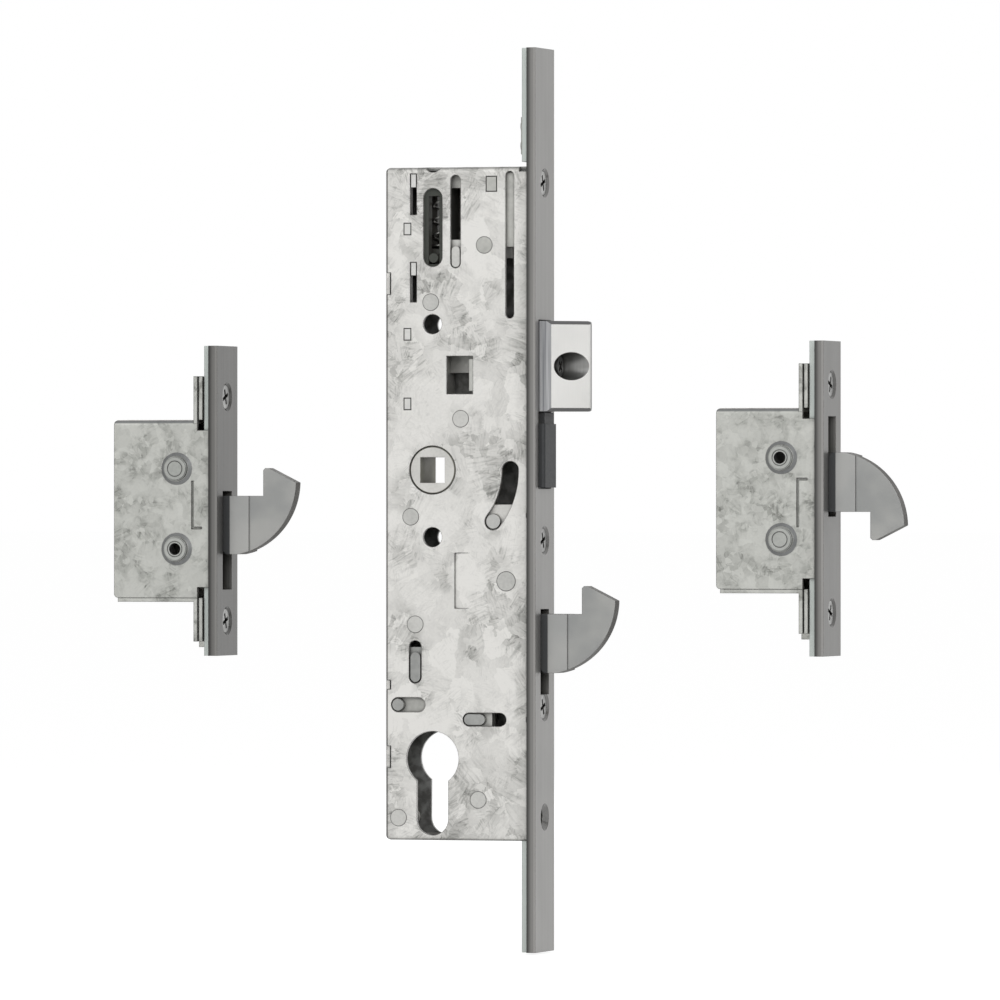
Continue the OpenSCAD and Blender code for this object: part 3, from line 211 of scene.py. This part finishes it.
    def bump(self, height, depth, normal, strength):
        n = self.new("Bump")
        n.inputs["Strength"].default_value = strength
        n.inputs["Distance"].default_value = depth * MM
        self.plug(n.inputs["Height"], height)
        self.plug(n.inputs["Normal"], normal)
        return n.outputs[0]

    def finish(self, colour, roughness, normal):
        """Sets the shader. Places shut in by other metal, such as the inside of a case, go dark as painted shade."""
        shut = self.span(self.occlusion(self.SHUT_REACH), 0.4, 0.12, 0.0, self.SHUT_SHARE)
        self.plug(self.bsdf.inputs["Base Color"], self.mix(shut, colour, self.SHUT_TONE))
        self.plug(self.bsdf.inputs["Roughness"], roughness)
        self.plug(self.bsdf.inputs["Normal"], normal)
        return self.mat


def spangle(s, cell, cloudy):
    """How grey each place of a galvanised sheet is, before contrast, and the fine grain on it."""
    small_cell, cloud_size = cell * 0.38, cell * 1.9
    jag = s.noise((4, 4, 4), detail=5, roughness=0.6, colour=True)
    jagged = s.vmath("ADD", s.at, s.vmath("SCALE", jag, scale=cell * 0.55))
    turn, tone, frosty = s.cells(jagged, cell)
    small_tone, small_turn, small_frosty = s.cells(jagged, small_cell)
    frost = s.noise((0.9, 3.0, 6.0), detail=5, roughness=0.6, distortion=0.6, at=s.spin(turn))
    sliver = s.noise((0.45, 1.5, 2.8), detail=4, roughness=0.6, distortion=0.4, at=s.spin(small_turn))
    frosted = s.math("MULTIPLY", s.span(frosty, 0.25, 0.75), s.span(frost, 0.42, 0.72))
    slivers = s.math("MULTIPLY", s.span(small_frosty, 0.2, 0.8), s.span(sliver, 0.44, 0.7))
    cloud = s.span(s.noise((cloud_size,) * 3, detail=3, roughness=0.5), 0.4, 0.62)
    fine = s.noise((0.7, 0.7, 0.7), detail=2)
    share = s.math("MULTIPLY", tone, 0.22)
    share = s.add(share, s.math("MULTIPLY", small_tone, cloud), cloudy)
    share = s.add(share, frosted, s.span(cloud, 0.0, 1.0, 0.12, 0.45))
    share = s.add(share, slivers, s.span(cloud, 0.0, 1.0, 0.14, 0.34))
    share = s.add(share, s.math("SUBTRACT", fine, 0.5), 0.2)
    return share, fine


def darker_inside(s, tone, inside):
    """The tone, darker with a mottled tone on the faces inside a case. Its outer faces and bends keep the tone."""
    low, high = (v / MM for v in inside)
    across = s.math("ABSOLUTE", s.y)
    share = s.span(across, high.y - 0.65, high.y - 0.75)
    by_bend = s.span(across, high.y - 1.4, high.y - 1.3)
    for axis, wall, way in ((s.x, low.x, 1), (s.z, low.z, 1), (s.z, high.z, -1)):
        share = s.math("MULTIPLY", share, s.span(axis, wall + 0.2 * way, wall + 0.4 * way))
        bend = s.math("MULTIPLY", by_bend, s.span(axis, wall + 2.0 * way, wall + 1.9 * way))
        share = s.math("MULTIPLY", share, s.math("SUBTRACT", 1.0, bend))
    mottle = s.span(s.noise((3, 3, 3), detail=4), 0.35, 0.65)
    return s.mix(share, tone, s.mix(mottle, (0.33, 0.335, 0.325), (0.15, 0.148, 0.142)))


def galvanised(name, pale, grey, cell, contrast, lift=0.0, cloudy=0.5, band=None, foot=None, edge_shadow=None,
               inside=None, up_down_shade=None, slope_shade=None):
    """Hot-dip galvanised sheet: large angular crystals, each with its own tone and direction of frost.

    cell is the size of a crystal, lift makes the sheet paler, and cloudy is the weight of its broad clouds. band in X
    and foot in Z are two places and the grey that comes in from one to the other. The edge shadow places in X are
    where a painted shadow line darkens the rear edge, and inside is the case's box. Faces that look up or down get
    painted shade, the given up and down tone or else a darker grey, and tilted faces get the given slope tone of
    painted shade.
    tilted ones.
    """
    s = Shade(name, metallic=0.5)
    share, fine = spangle(s, cell, cloudy)
    for axis, zone in ((s.x, band), (s.z, foot)):
        if zone:
            start, end, weight = zone
            share = s.add(share, s.span(axis, start, end), weight)
    share = s.math("SUBTRACT", s.math("MULTIPLY", share, contrast), lift, clamp=True)
    tone = s.mix(share, pale, grey)
    # Painted shade on faces that look up or down, the case's bends.
    up = s.facing(2)
    if up_down_shade:
        tone = s.mix(s.span(up, 0.6, 0.95, 0.0, 0.75), tone, up_down_shade)
    else:
        tone = s.mix(s.span(up, 0.45, 0.95, 0.0, 0.8), tone, scaled(grey, 0.3))
    # Painted shadow line along the rear edge in X.
    if edge_shadow:
        tone = s.mix(s.span(s.x, *edge_shadow, 0.0, 0.85), tone, scaled(grey, 0.16))
    # Painted shade on tilted faces, such as the flanks of drawn collars.
    if slope_shade:
        tilt = s.facing(1)
        tilted = s.math("MULTIPLY", s.span(tilt, 0.97, 0.85), s.span(tilt, 0.1, 0.25))
        tone = s.mix(s.math("MULTIPLY", tilted, 0.85), tone, slope_shade)
    if inside:
        tone = darker_inside(s, tone, inside)
    # Painted shade: a dark outline on the edges, and darker crevices.
    tone, normal = s.rim(tone, 0.4, 0.85, scaled(grey, 0.2))
    tone = s.crevice_shade(tone, 2.2, 0.75, scaled(grey, 0.1))
    height = s.add(share, fine, 0.3)
    return s.finish(tone, s.span(share, 0.0, 1.0, 0.4, 0.6), s.bump(height, 0.05, normal, 0.35))


def brushed(name, face, side, streak, metallic=0.8, roughness=0.38, front=None):
    """Steel strip brushed lengthwise, with smooth countersinks painted dark as painted shade. With a front given, its
    sheared edges have a bright burnished band by the front and a rough dark break behind it; the darkening towards
    the back is partly the real fracture zone and partly painted shade where the edge meets the case."""
    s = Shade(name, metallic=metallic)
    s.bsdf.inputs["Anisotropic"].default_value = 0.4
    grain = (0.16, 0.16, 60.0)
    line = s.noise(grain, detail=4, roughness=0.65)
    wide = s.noise(scaled(grain, 9), detail=2)
    cloud = s.noise((9, 9, 26), detail=3)
    side_tone = side
    # The sheared edge darkens towards the back: partly the real fracture zone, partly painted shade where the
    # faceplate meets the case.
    if front is not None:
        depth = s.math("SUBTRACT", s.x, front)
        side_tone = s.mix(s.span(depth, -2.8, -1.2), scaled(side, 0.3), side)
        side_tone = s.mix(s.span(depth, -1.0, -0.6), side_tone, scaled(side, 1.35))
    ahead = s.facing(0)
    tone = s.mix(s.span(ahead, 0.8, 0.97), side_tone, face)
    # Countersinks: smoother, and painted darker as painted shade.
    sink = s.math("MULTIPLY", s.span(ahead, 0.55, 0.62), s.span(ahead, 0.85, 0.78))
    tone = s.mix(sink, tone, scaled(face, 0.55))
    light = s.vary(line, streak)
    light = s.add(light, s.math("SUBTRACT", wide, 0.5), streak * 0.7)
    light = s.add(light, s.math("SUBTRACT", cloud, 0.5), streak * 0.5)
    tone = s.vmath("SCALE", tone, scale=light)
    # Painted shade: a dark outline on the edges, and darker crevices.
    tone, normal = s.rim(tone, 0.3, 0.6, scaled(side, 0.3))
    tone = s.crevice_shade(tone, 1.6, 0.6, (0.03, 0.03, 0.03), start=0.8)
    rough = s.span(line, 0.3, 0.7, roughness - 0.06, roughness + 0.08)
    rough = s.math("SUBTRACT", rough, s.math("MULTIPLY", sink, 0.18))
    return s.finish(tone, rough, s.bump(line, 0.03, normal, 0.3))


def satin(name, tone, deep, metallic=0.75, roughness=0.4, grain=1.4, rim_tone=None, crevice_shade=0.6, flank_shade=None):
    """Plain plated or cast metal with fine grain, slow clouding, softened edges with a painted shaded outline and
    painted shade in crevices. A given tone for the sides is painted shade on faces that don't look along Y."""
    s = Shade(name, metallic=metallic)
    fine = s.noise((grain,) * 3, detail=4, roughness=0.6)
    slow = s.noise((10.0, 10.0, 10.0), detail=3)
    share = s.math("ADD", s.math("MULTIPLY", s.span(slow, 0.35, 0.68), 0.55),
                   s.math("MULTIPLY", s.span(fine, 0.35, 0.7), 0.35), clamp=True)
    colour = s.mix(share, tone, deep)
    # Painted shade on faces that don't look along Y.
    if flank_shade:
        colour = s.mix(s.span(s.facing(1), 0.95, 0.6), colour, flank_shade)
    # Painted shade: a dark outline on the edges, and darker crevices.
    colour, normal = s.rim(colour, 0.25, 0.6, rim_tone or scaled(deep, 0.6))
    colour = s.crevice_shade(colour, 1.8, crevice_shade, scaled(deep, 0.12))
    rough = s.span(share, 0.0, 1.0, roughness - 0.06, roughness + 0.1)
    return s.finish(colour, rough, s.bump(fine, 0.03, normal, 0.3))


def hook_metal(name, front):
    """Satin hook: its root strip by the faceplate is painted dark as a painted shadow from the slot, then a paler
    shank, then the blade. Its narrow edges are rougher and less metallic, and painted dark as painted shade."""
    metallic = 0.6
    s = Shade(name)
    fine = s.noise((0.7, 0.7, 0.7), detail=4, roughness=0.65)
    slow = s.noise((14, 14, 14), detail=2)
    blade = s.mix(s.span(slow, 0.3, 0.7), (0.40, 0.40, 0.385), (0.31, 0.315, 0.31))
    out = s.math("SUBTRACT", s.x, front)
    shank = s.mix(s.span(out, 8.5, 9.0), s.mix(0.35, blade, (0.47, 0.47, 0.46)), blade)
    # Painted shadow: the strip next to the faceplate goes dark, in the slot's shade.
    root = s.math("MULTIPLY", s.span(out, 2.5, 2.1), 0.95)
    colour = s.mix(root, shank, (0.035, 0.037, 0.04))
    # Painted shade on the narrow edges, the faces that don't look along Y; they are also rougher and less metallic.
    painted_edge = s.span(s.facing(1), 0.9, 0.4)
    edge_shade_tone = s.mix(s.span(slow, 0.4, 0.6), (0.09, 0.086, 0.08), (0.16, 0.155, 0.147))
    colour = s.mix(painted_edge, colour, edge_shade_tone)
    s.plug(s.bsdf.inputs["Metallic"], s.math("SUBTRACT", metallic, s.math("MULTIPLY", painted_edge, 0.5)))
    colour = s.vmath("SCALE", colour, scale=s.vary(fine, 0.12))
    # Painted shade: a dark outline on the edges, and darker crevices.
    colour, normal = s.rim(colour, 0.35, 0.6, (0.13, 0.13, 0.13))
    colour = s.crevice_shade(colour, 1.8, 0.55, (0.03, 0.03, 0.03))
    rough = s.add(s.span(fine, 0.3, 0.7, 0.36, 0.48), painted_edge, 0.25)
    return s.finish(colour, rough, s.bump(fine, 0.02, normal, 0.25))


def latch_metal(name, axis_y, axis_z, radius, floor_x):
    """Nickelled latch: a polished ramp; flanks with lengthwise grinding streaks that also stand in as painted
    reflection bands, the flanks painted darker than the ramp as painted shade; bevels at its ends and faces that look
    along +X painted dark as painted shade; and a drilled pocket, given as its axis in Y and Z, its radius and the
    place of its floor, whose turned walls are more metallic and painted dark as painted shade."""
    bevel = (0.12, 0.12, 0.12)
    s = Shade(name)
    fine = s.noise((0.3, 0.3, 7), detail=4, roughness=0.6)
    slow = s.noise((22, 22, 22), detail=2)
    colour = s.mix(s.span(slow, 0.3, 0.7), (0.96, 0.955, 0.93), (0.89, 0.885, 0.86))
    # Grinding streaks on the flanks, which also stand in as painted reflection bands; the flanks are painted darker
    # than the ramp as painted shade.
    grind_and_sheen_streaks = s.noise((0.9, 3.0, 90.0), detail=3, roughness=0.55)
    ground = s.mix(s.span(grind_and_sheen_streaks, 0.38, 0.62), (0.24, 0.245, 0.26), (0.56, 0.565, 0.575))
    colour = s.mix(s.span(s.facing(1), 0.95, 0.99), colour, ground)
    # Painted shade: the bevels at the ends and the faces that look along +X go dark.
    colour = s.mix(s.span(s.facing(2), 0.35, 0.6), colour, bevel)
    colour = s.mix(s.span(s.normal[0], 0.88, 0.98, 0.0, 0.85), colour, (0.13, 0.13, 0.13))
    colour = s.vmath("SCALE", colour, scale=s.vary(fine, 0.08))
    # Painted shade in the drilled pocket: its walls go dark, with turned grain, and more metallic.
    off_y, off_z = s.math("SUBTRACT", s.y, axis_y), s.math("SUBTRACT", s.z, axis_z)
    off = s.math("ADD", s.math("MULTIPLY", off_y, off_y), s.math("MULTIPLY", off_z, off_z))
    near_axis = s.span(s.math("SQRT", off), radius + 0.12, radius + 0.06)
    drilled = s.math("MULTIPLY", near_axis, s.span(s.x, floor_x - 0.2, floor_x - 0.1))
    turned = s.noise((0.35, 6.0, 6.0), detail=3)
    colour = s.mix(drilled, colour, s.mix(turned, (0.20, 0.20, 0.195), (0.30, 0.30, 0.29)))
    s.plug(s.bsdf.inputs["Metallic"], s.math("ADD", s.math("MULTIPLY", drilled, 0.7), 0.15))
    # Painted shade: a dark outline on the edges, and darker crevices.
    colour, normal = s.rim(colour, 0.3, 0.7, bevel)
    colour = s.crevice_shade(colour, 1.8, 0.7, (0.04, 0.04, 0.04))
    return s.finish(colour, s.span(fine, 0.3, 0.7, 0.28, 0.38), s.bump(fine, 0.02, normal, 0.2))


def moulded(name, tone, deep):
    """Moulded plastic with a fine spark-eroded grain and paler edges, a painted highlight."""
    s = Shade(name)
    fine = s.noise((0.35, 0.35, 0.35), detail=3, roughness=0.6)
    slow = s.noise((6, 6, 6), detail=2)
    share = s.math("ADD", s.math("MULTIPLY", fine, 0.4), s.math("MULTIPLY", slow, 0.5), clamp=True)
    # Painted highlight: paler edges.
    colour, normal = s.rim(s.mix(share, tone, deep), 0.3, 0.35, scaled(tone, 1.4))
    return s.finish(colour, s.span(fine, 0.3, 0.7, 0.47, 0.63), s.bump(fine, 0.06, normal, 0.4))


cover_box, back_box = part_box("centre_cover"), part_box("centre_backplate")
case_inside = (cover_box[0], Vector((0, back_box[1].y, cover_box[1].z)))
spring = satin("spring_wire", (0.36, 0.36, 0.34), (0.24, 0.24, 0.23), metallic=0.85, roughness=0.3)

# Each material with the nodes that it covers.
looks = [
    (galvanised("galvanised_case", (0.82, 0.81, 0.78), (0.24, 0.24, 0.225), cell=9.0, contrast=1.12, lift=0.07,
                cloudy=0.4, band=(26.5, 30.5, 0.17), foot=(-70, -105, 0.02), edge_shadow=(-14.8, -15.2),
                inside=case_inside),
     ["centre_cover"]),
    (galvanised("galvanised_back", (0.74, 0.73, 0.70), (0.26, 0.26, 0.245), cell=9.0, contrast=0.86,
                inside=case_inside),
     ["centre_backplate"]),
    (galvanised("galvanised_hook_case", (0.61, 0.615, 0.58), (0.20, 0.204, 0.186), cell=4.5, contrast=0.92,
                up_down_shade=(0.40, 0.33, 0.22), slope_shade=(0.16, 0.165, 0.17)),
     ["top_cover", "top_backplate", "bottom_cover", "bottom_backplate"]),
    (brushed("faceplate_brushed", (0.32, 0.316, 0.308), (0.22, 0.216, 0.208), 0.35, front=FRONT_X["centre"]),
     ["centre_faceplate"]),
    # The three faceplates are one steel: the darker tones of the top and bottom ones are painted shade.
    (brushed("top_faceplate_brushed", (0.185, 0.183, 0.178), (0.17, 0.167, 0.16), 0.35, front=FRONT_X["top"]),
     ["top_faceplate"]),
    (brushed("bottom_faceplate_brushed", (0.24, 0.237, 0.231), (0.22, 0.216, 0.208), 0.35,
             front=FRONT_X["bottom"]),
     ["bottom_faceplate"]),
    (brushed("rail_zinc", (0.52, 0.555, 0.525), (0.54, 0.58, 0.555), 0.22, metallic=0.6, roughness=0.42),
     ["upper_rail", "lower_rail", "top_rail", "bottom_rail"]),
    (satin("slide_zinc", (0.52, 0.52, 0.49), (0.38, 0.38, 0.36), metallic=0.6, roughness=0.48),
     ["drive_slide", "top_drive_plate", "bottom_drive_plate", "upper_guide_block", "latch_tail",
      "latch_spring_seat", "deadlock_slide", "trigger_guide"]),
    # The hub's dark tone on faces that don't look along Y is painted shade on the walls of its square hole.
    (satin("hub_cast", (0.70, 0.69, 0.66), (0.57, 0.565, 0.54), metallic=0.5, roughness=0.5, grain=0.8,
           flank_shade=(0.20, 0.195, 0.15)),
     ["spindle_hub"]),
    (satin("tenon_zinc", (0.78, 0.775, 0.75), (0.64, 0.64, 0.62), metallic=0.4, roughness=0.45),
     ["rear_strip"]),
    (satin("rivet_zinc", (0.64, 0.635, 0.61), (0.48, 0.48, 0.46), metallic=0.5, roughness=0.5, grain=0.9),
     ["case_pillars", "centre_hook_pivot", "slide_guide_pin"]),
    (satin("pin_grey", (0.40, 0.405, 0.39), (0.29, 0.295, 0.285), metallic=0.6, roughness=0.45),
     ["deadlock_pins", "key_blocker"]),
    # The bosses' dark flank and edge tones are painted shade.
    (satin("boss_zinc", (0.46, 0.47, 0.445), (0.34, 0.35, 0.33), metallic=0.65, roughness=0.36,
           flank_shade=(0.12, 0.125, 0.13), rim_tone=(0.10, 0.10, 0.10)),
     ["top_hook_pivot", "bottom_hook_pivot", "top_eyelet", "bottom_eyelet"]),
    # The screws' near-black edge tone and strong crevice darkening are painted shade.
    (satin("screw_zinc", (0.42, 0.42, 0.41), (0.25, 0.25, 0.245), metallic=0.9, roughness=0.28, crevice_shade=0.95,
           rim_tone=(0.05, 0.05, 0.05)),
     ["centre_screws", "top_screws", "bottom_screws"]),
    (satin("pin_ground", (0.52, 0.52, 0.50), (0.40, 0.40, 0.39), metallic=0.7, roughness=0.36),
     ["hub_drive_pin", "centre_hook_drive_pin", "top_drive_pin", "bottom_drive_pin", "rail_rivets",
      "trigger_clip"]),
    (latch_metal("latch_nickel", axis_y=-1.1, axis_z=33.0, radius=4.4, floor_x=38.4),
     ["latch_bolt"]),
    # Painted shade: the screw at the floor of the latch pocket is near-black.
    (satin("latch_screw_dark", (0.075, 0.075, 0.075), (0.04, 0.04, 0.04), metallic=0.6, roughness=0.42),
     ["latch_screw"]),
    (moulded("trigger_slate", (0.022, 0.024, 0.026), (0.015, 0.016, 0.018)),
     ["trigger"]),
    (moulded("housing_dark", (0.05, 0.055, 0.045), (0.03, 0.033, 0.027)),
     ["return_spring_housing", "return_plunger"]),
    (spring, ["return_spring", "latch_spring", "trigger_spring"]),
]
looks += [(hook_metal(f"{section}_hook_satin", x), [f"{section}_hook"]) for section, x in FRONT_X.items()]
for mat, names in looks:
    for name in names:
        nodes[name].data.materials.clear()
        nodes[name].data.materials.append(mat)


def new_piece(name, bm, mat, body):
    """A finished mesh piece that rides on a body."""
    mesh = bpy.data.meshes.new(name)
    bm.to_mesh(mesh)
    bm.free()
    for face in mesh.polygons:
        face.use_smooth = True
    obj = bpy.data.objects.new(name, mesh)
    scene.collection.objects.link(obj)
    mesh.materials.append(mat)
    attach(obj, body)
    return obj


def tube(bm, path, radius, sides=12):
    """A round tube along a path, with closed ends."""
    rings = []
    side = None
    for i, p in enumerate(path):
        ahead = (path[min(i + 1, len(path) - 1)] - path[max(i - 1, 0)]).normalized()
        side = side or ahead.orthogonal().normalized()
        side = (side - ahead * side.dot(ahead)).normalized()
        up = ahead.cross(side)
        turns = (2 * math.pi * k / sides for k in range(sides))
        rings.append([bm.verts.new(p + radius * (math.cos(t) * side + math.sin(t) * up)) for t in turns])
    for a, b in zip(rings, rings[1:]):
        for k in range(sides):
            bm.faces.new((a[k], a[(k + 1) % sides], b[(k + 1) % sides], b[k]))
    bm.faces.new(rings[0][::-1])
    bm.faces.new(rings[-1])


def coil_spring(node, axis, turns, wire, anchor):
    """Wound spring with closed end turns in the room of its CAD node. wire is the radius of its wire, and anchor the
    end that stays."""
    end_turns, steps_per_turn = 1.0, 24
    closed_pitch = 1.02 * 2 * wire
    lo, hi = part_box(node)
    middle = (lo + hi) / 2
    rise_all = hi[axis] - lo[axis] - 2 * wire
    cross = [k for k in range(3) if k != axis]
    radius = (hi[cross[0]] - lo[cross[0]]) / 2 - wire
    path = []
    total = turns + 2 * end_turns
    steps = int(total * steps_per_turn)
    for i in range(steps + 1):
        t = i / steps * total
        if t < end_turns:
            rise = t * closed_pitch
        elif t > total - end_turns:
            rise = rise_all - (total - t) * closed_pitch
        else:
            closed = end_turns * closed_pitch
            rise = closed + (t - end_turns) / turns * (rise_all - 2 * closed)
        p = middle.copy()
        p[axis] = lo[axis] + wire + rise
        p[cross[0]] += radius * math.cos(2 * math.pi * t)
        p[cross[1]] += radius * math.sin(2 * math.pi * t)
        path.append(p)
    bm = bmesh.new()
    tube(bm, path, wire)
    obj = new_piece(node + "_wound", bm, spring, "frame")
    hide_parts(node)
    end = middle.copy()
    end[axis] = hi[axis] if anchor == "high" else lo[axis]
    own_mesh(obj)


coil_spring("return_spring", 2, 4, 0.4 * MM, "high")
coil_spring("latch_spring", 0, 3, 0.25 * MM, "low")
coil_spring("trigger_spring", 0, 2, 0.3 * MM, "low")


def rivet_rim(bm, x, z, radius):
    """A shallow rounded ring on the gearbox cover, in millimetres."""
    around, across = 48, 6
    half_width, rise = 0.16, 0.07
    loops = []
    for i in range(around):
        t = 2 * math.pi * i / around
        loop = []
        for k in range(across + 1):
            a = math.pi * k / across
            out = radius + half_width * math.cos(a)
            p = Vector((x + out * math.cos(t), COVER_Y - rise * math.sin(a), z + out * math.sin(t)))
            loop.append(bm.verts.new(p * MM))
        loops.append(loop)
    for i in range(around):
        a, b = loops[i], loops[(i + 1) % around]
        for k in range(across):
            bm.faces.new((a[k], a[k + 1], b[k + 1], b[k]))
        bm.faces.new((a[across], a[0], b[0], b[across]))


def tenon_rim(bm, x, z, size):
    """A thin raised line round a rectangle on the gearbox cover, in millimetres."""
    width, rise = 0.42, 0.04
    corners = ((-1, -1), (1, -1), (1, 1), (-1, 1))
    loops = []
    for grow, lift in ((width, 0), (width * 0.7, rise), (width * 0.3, rise), (0, 0)):
        half_x, half_z = (v / 2 + grow for v in size)
        points = (Vector((x + a * half_x, COVER_Y - lift, z + b * half_z)) for a, b in corners)
        loops.append([bm.verts.new(p * MM) for p in points])
    for a, b in zip(loops, loops[1:] + loops[:1]):
        for k in range(4):
            bm.faces.new((a[k], a[(k + 1) % 4], b[(k + 1) % 4], b[k]))


# Upset rims left by riveting round the flush heads of the gearbox case, and round the hook's larger pivot.
PILLAR_RIM_R, PIVOT_RIM_R = 2.62, 3.05
pillar_heads = [(-0.6, 53.5), (9.4, 16.3), (-7.3, -14.9), (-5.8, -49.2), (15.3, -105.0), (-11.4, -110.9),
                (17.3, 71.6)]
bm = bmesh.new()
for x, z in pillar_heads:
    rivet_rim(bm, x, z, PILLAR_RIM_R)
rivet_rim(bm, 24.6, -35.4, PIVOT_RIM_R)
rim_tone = satin("rivet_rim", (0.30, 0.30, 0.29), (0.20, 0.20, 0.19), metallic=0.5, roughness=0.55)
new_piece("rivet_rims", bm, rim_tone, "frame")

# Dark lines where the tenons of the strip and the guide block come through the sheet.
STRIP_TENON, BLOCK_TENON = (1.8, 3.2), (3.0, 4.3)
bm = bmesh.new()
for z in (76.9, 43.3, 21.1):
    tenon_rim(bm, -8.4, z, STRIP_TENON)
tenon_rim(bm, 19.7, 91.05, BLOCK_TENON)
line_tone = satin("tenon_line", (0.07, 0.07, 0.065), (0.05, 0.05, 0.047), metallic=0.4, roughness=0.6)
new_piece("tenon_rims", bm, line_tone, "frame")


def plain_shader(tree, kind, grey, strength=None):
    """A shader node of one grey or near-grey colour."""
    n = tree.nodes.new("ShaderNode" + kind)
    n.inputs["Color"].default_value = (*grey, 1)
    if strength is not None:
        n.inputs["Strength"].default_value = strength
    return n


def split_rays(tree, lit, seen, output):
    """Gives one shader to rays that show a background, from the camera, a gloss or glass, and another to the rest."""
    rays = tree.nodes.new("ShaderNodeLightPath")
    share = rays.outputs["Is Camera Ray"]
    for name in ("Is Glossy Ray", "Is Transmission Ray"):
        n = tree.nodes.new("ShaderNodeMath")
        n.operation = "MAXIMUM"
        tree.links.new(share, n.inputs[0])
        tree.links.new(rays.outputs[name], n.inputs[1])
        share = n.outputs[0]
    pick = tree.nodes.new("ShaderNodeMixShader")
    tree.links.new(share, pick.inputs[0])
    tree.links.new(lit.outputs[0], pick.inputs[1])
    tree.links.new(seen.outputs[0], pick.inputs[2])
    tree.links.new(pick.outputs[0], tree.nodes.new("ShaderNode" + output).inputs[0])


# A white floor that keeps the object's shadow, just below the object.
WHITE = (1, 1, 1)
FLOOR_GAP, FLOOR_HALF = 0.0006, 40.0
bm = bmesh.new()
bmesh.ops.create_grid(bm, x_segments=2, y_segments=2, size=FLOOR_HALF)
mesh = bpy.data.meshes.new("floor")
bm.to_mesh(mesh)
bm.free()
floor = bpy.data.objects.new("floor", mesh)
floor.location.z = cad_box[0].z - FLOOR_GAP
scene.collection.objects.link(floor)
mat = bpy.data.materials.new("floor_white")
mat.use_nodes = True
tree = mat.node_tree
tree.nodes.clear()
shown = tree.nodes.new("ShaderNodeAddShader")
tree.links.new(plain_shader(tree, "Emission", WHITE, 0.85).outputs[0], shown.inputs[0])
tree.links.new(plain_shader(tree, "BsdfDiffuse", (0.4, 0.4, 0.4)).outputs[0], shown.inputs[1])
split_rays(tree, plain_shader(tree, "BsdfDiffuse", (0.82, 0.82, 0.81)), shown, "OutputMaterial")
mesh.materials.append(mat)

# A dim room that lights the object, seen as white.
world = bpy.data.worlds.new("studio")
scene.world = world
world.use_nodes = True
tree = world.node_tree
tree.nodes.clear()
room = plain_shader(tree, "Background", WHITE, 0.36)
split_rays(tree, room, plain_shader(tree, "Background", WHITE, 1.0), "OutputWorld")


def soft_light(name, at, size, power):
    """A round area light that looks at the middle of the object."""
    middle = Vector((0.03, 0, -0.01))
    data = bpy.data.lights.new(name, "AREA")
    data.shape = "DISK"
    data.size = size
    data.energy = power
    obj = bpy.data.objects.new(name, data)
    obj.location = at
    obj.rotation_mode = "QUATERNION"
    obj.rotation_quaternion = (middle - Vector(at)).to_track_quat("-Z", "Y")
    scene.collection.objects.link(obj)


soft_light("key", (-0.9, -1.5, 0.9), size=0.9, power=2.2)
soft_light("fill", (0.9, -1.6, 0.7), size=1.2, power=13.2)
soft_light("back", (-0.6, 1.5, 0.9), size=1.2, power=7)

# The photograph's view: level, a long lens, turned 17.6 degrees towards the faceplate fronts.
AZIMUTH = math.radians(17.6)
DISTANCE = 3.2
PIXELS, PIXELS_PER_MM = 1000, 3.13
FRAME_WIDTH = PIXELS / PIXELS_PER_MM * MM
AIM_RIGHT, AIM_UP = 19.1 * MM, -9.55 * MM
SENSOR = 36
right = Vector((math.cos(AZIMUTH), math.sin(AZIMUTH), 0))
back = Vector((math.sin(AZIMUTH), -math.cos(AZIMUTH), 0))
target = right * AIM_RIGHT + Vector((0, 0, AIM_UP))
cam_data = bpy.data.cameras.new("camera")
cam_data.sensor_width = SENSOR
cam_data.lens = SENSOR * DISTANCE / FRAME_WIDTH
cam_data.clip_start = 0.05
cam_data.clip_end = 60
camera = bpy.data.objects.new("camera", cam_data)
camera.location = target + back * DISTANCE
camera.rotation_mode = "QUATERNION"
camera.rotation_quaternion = (-back).to_track_quat("-Z", "Y")
scene.collection.objects.link(camera)
scene.camera = camera

scene.view_settings.view_transform = "Standard"
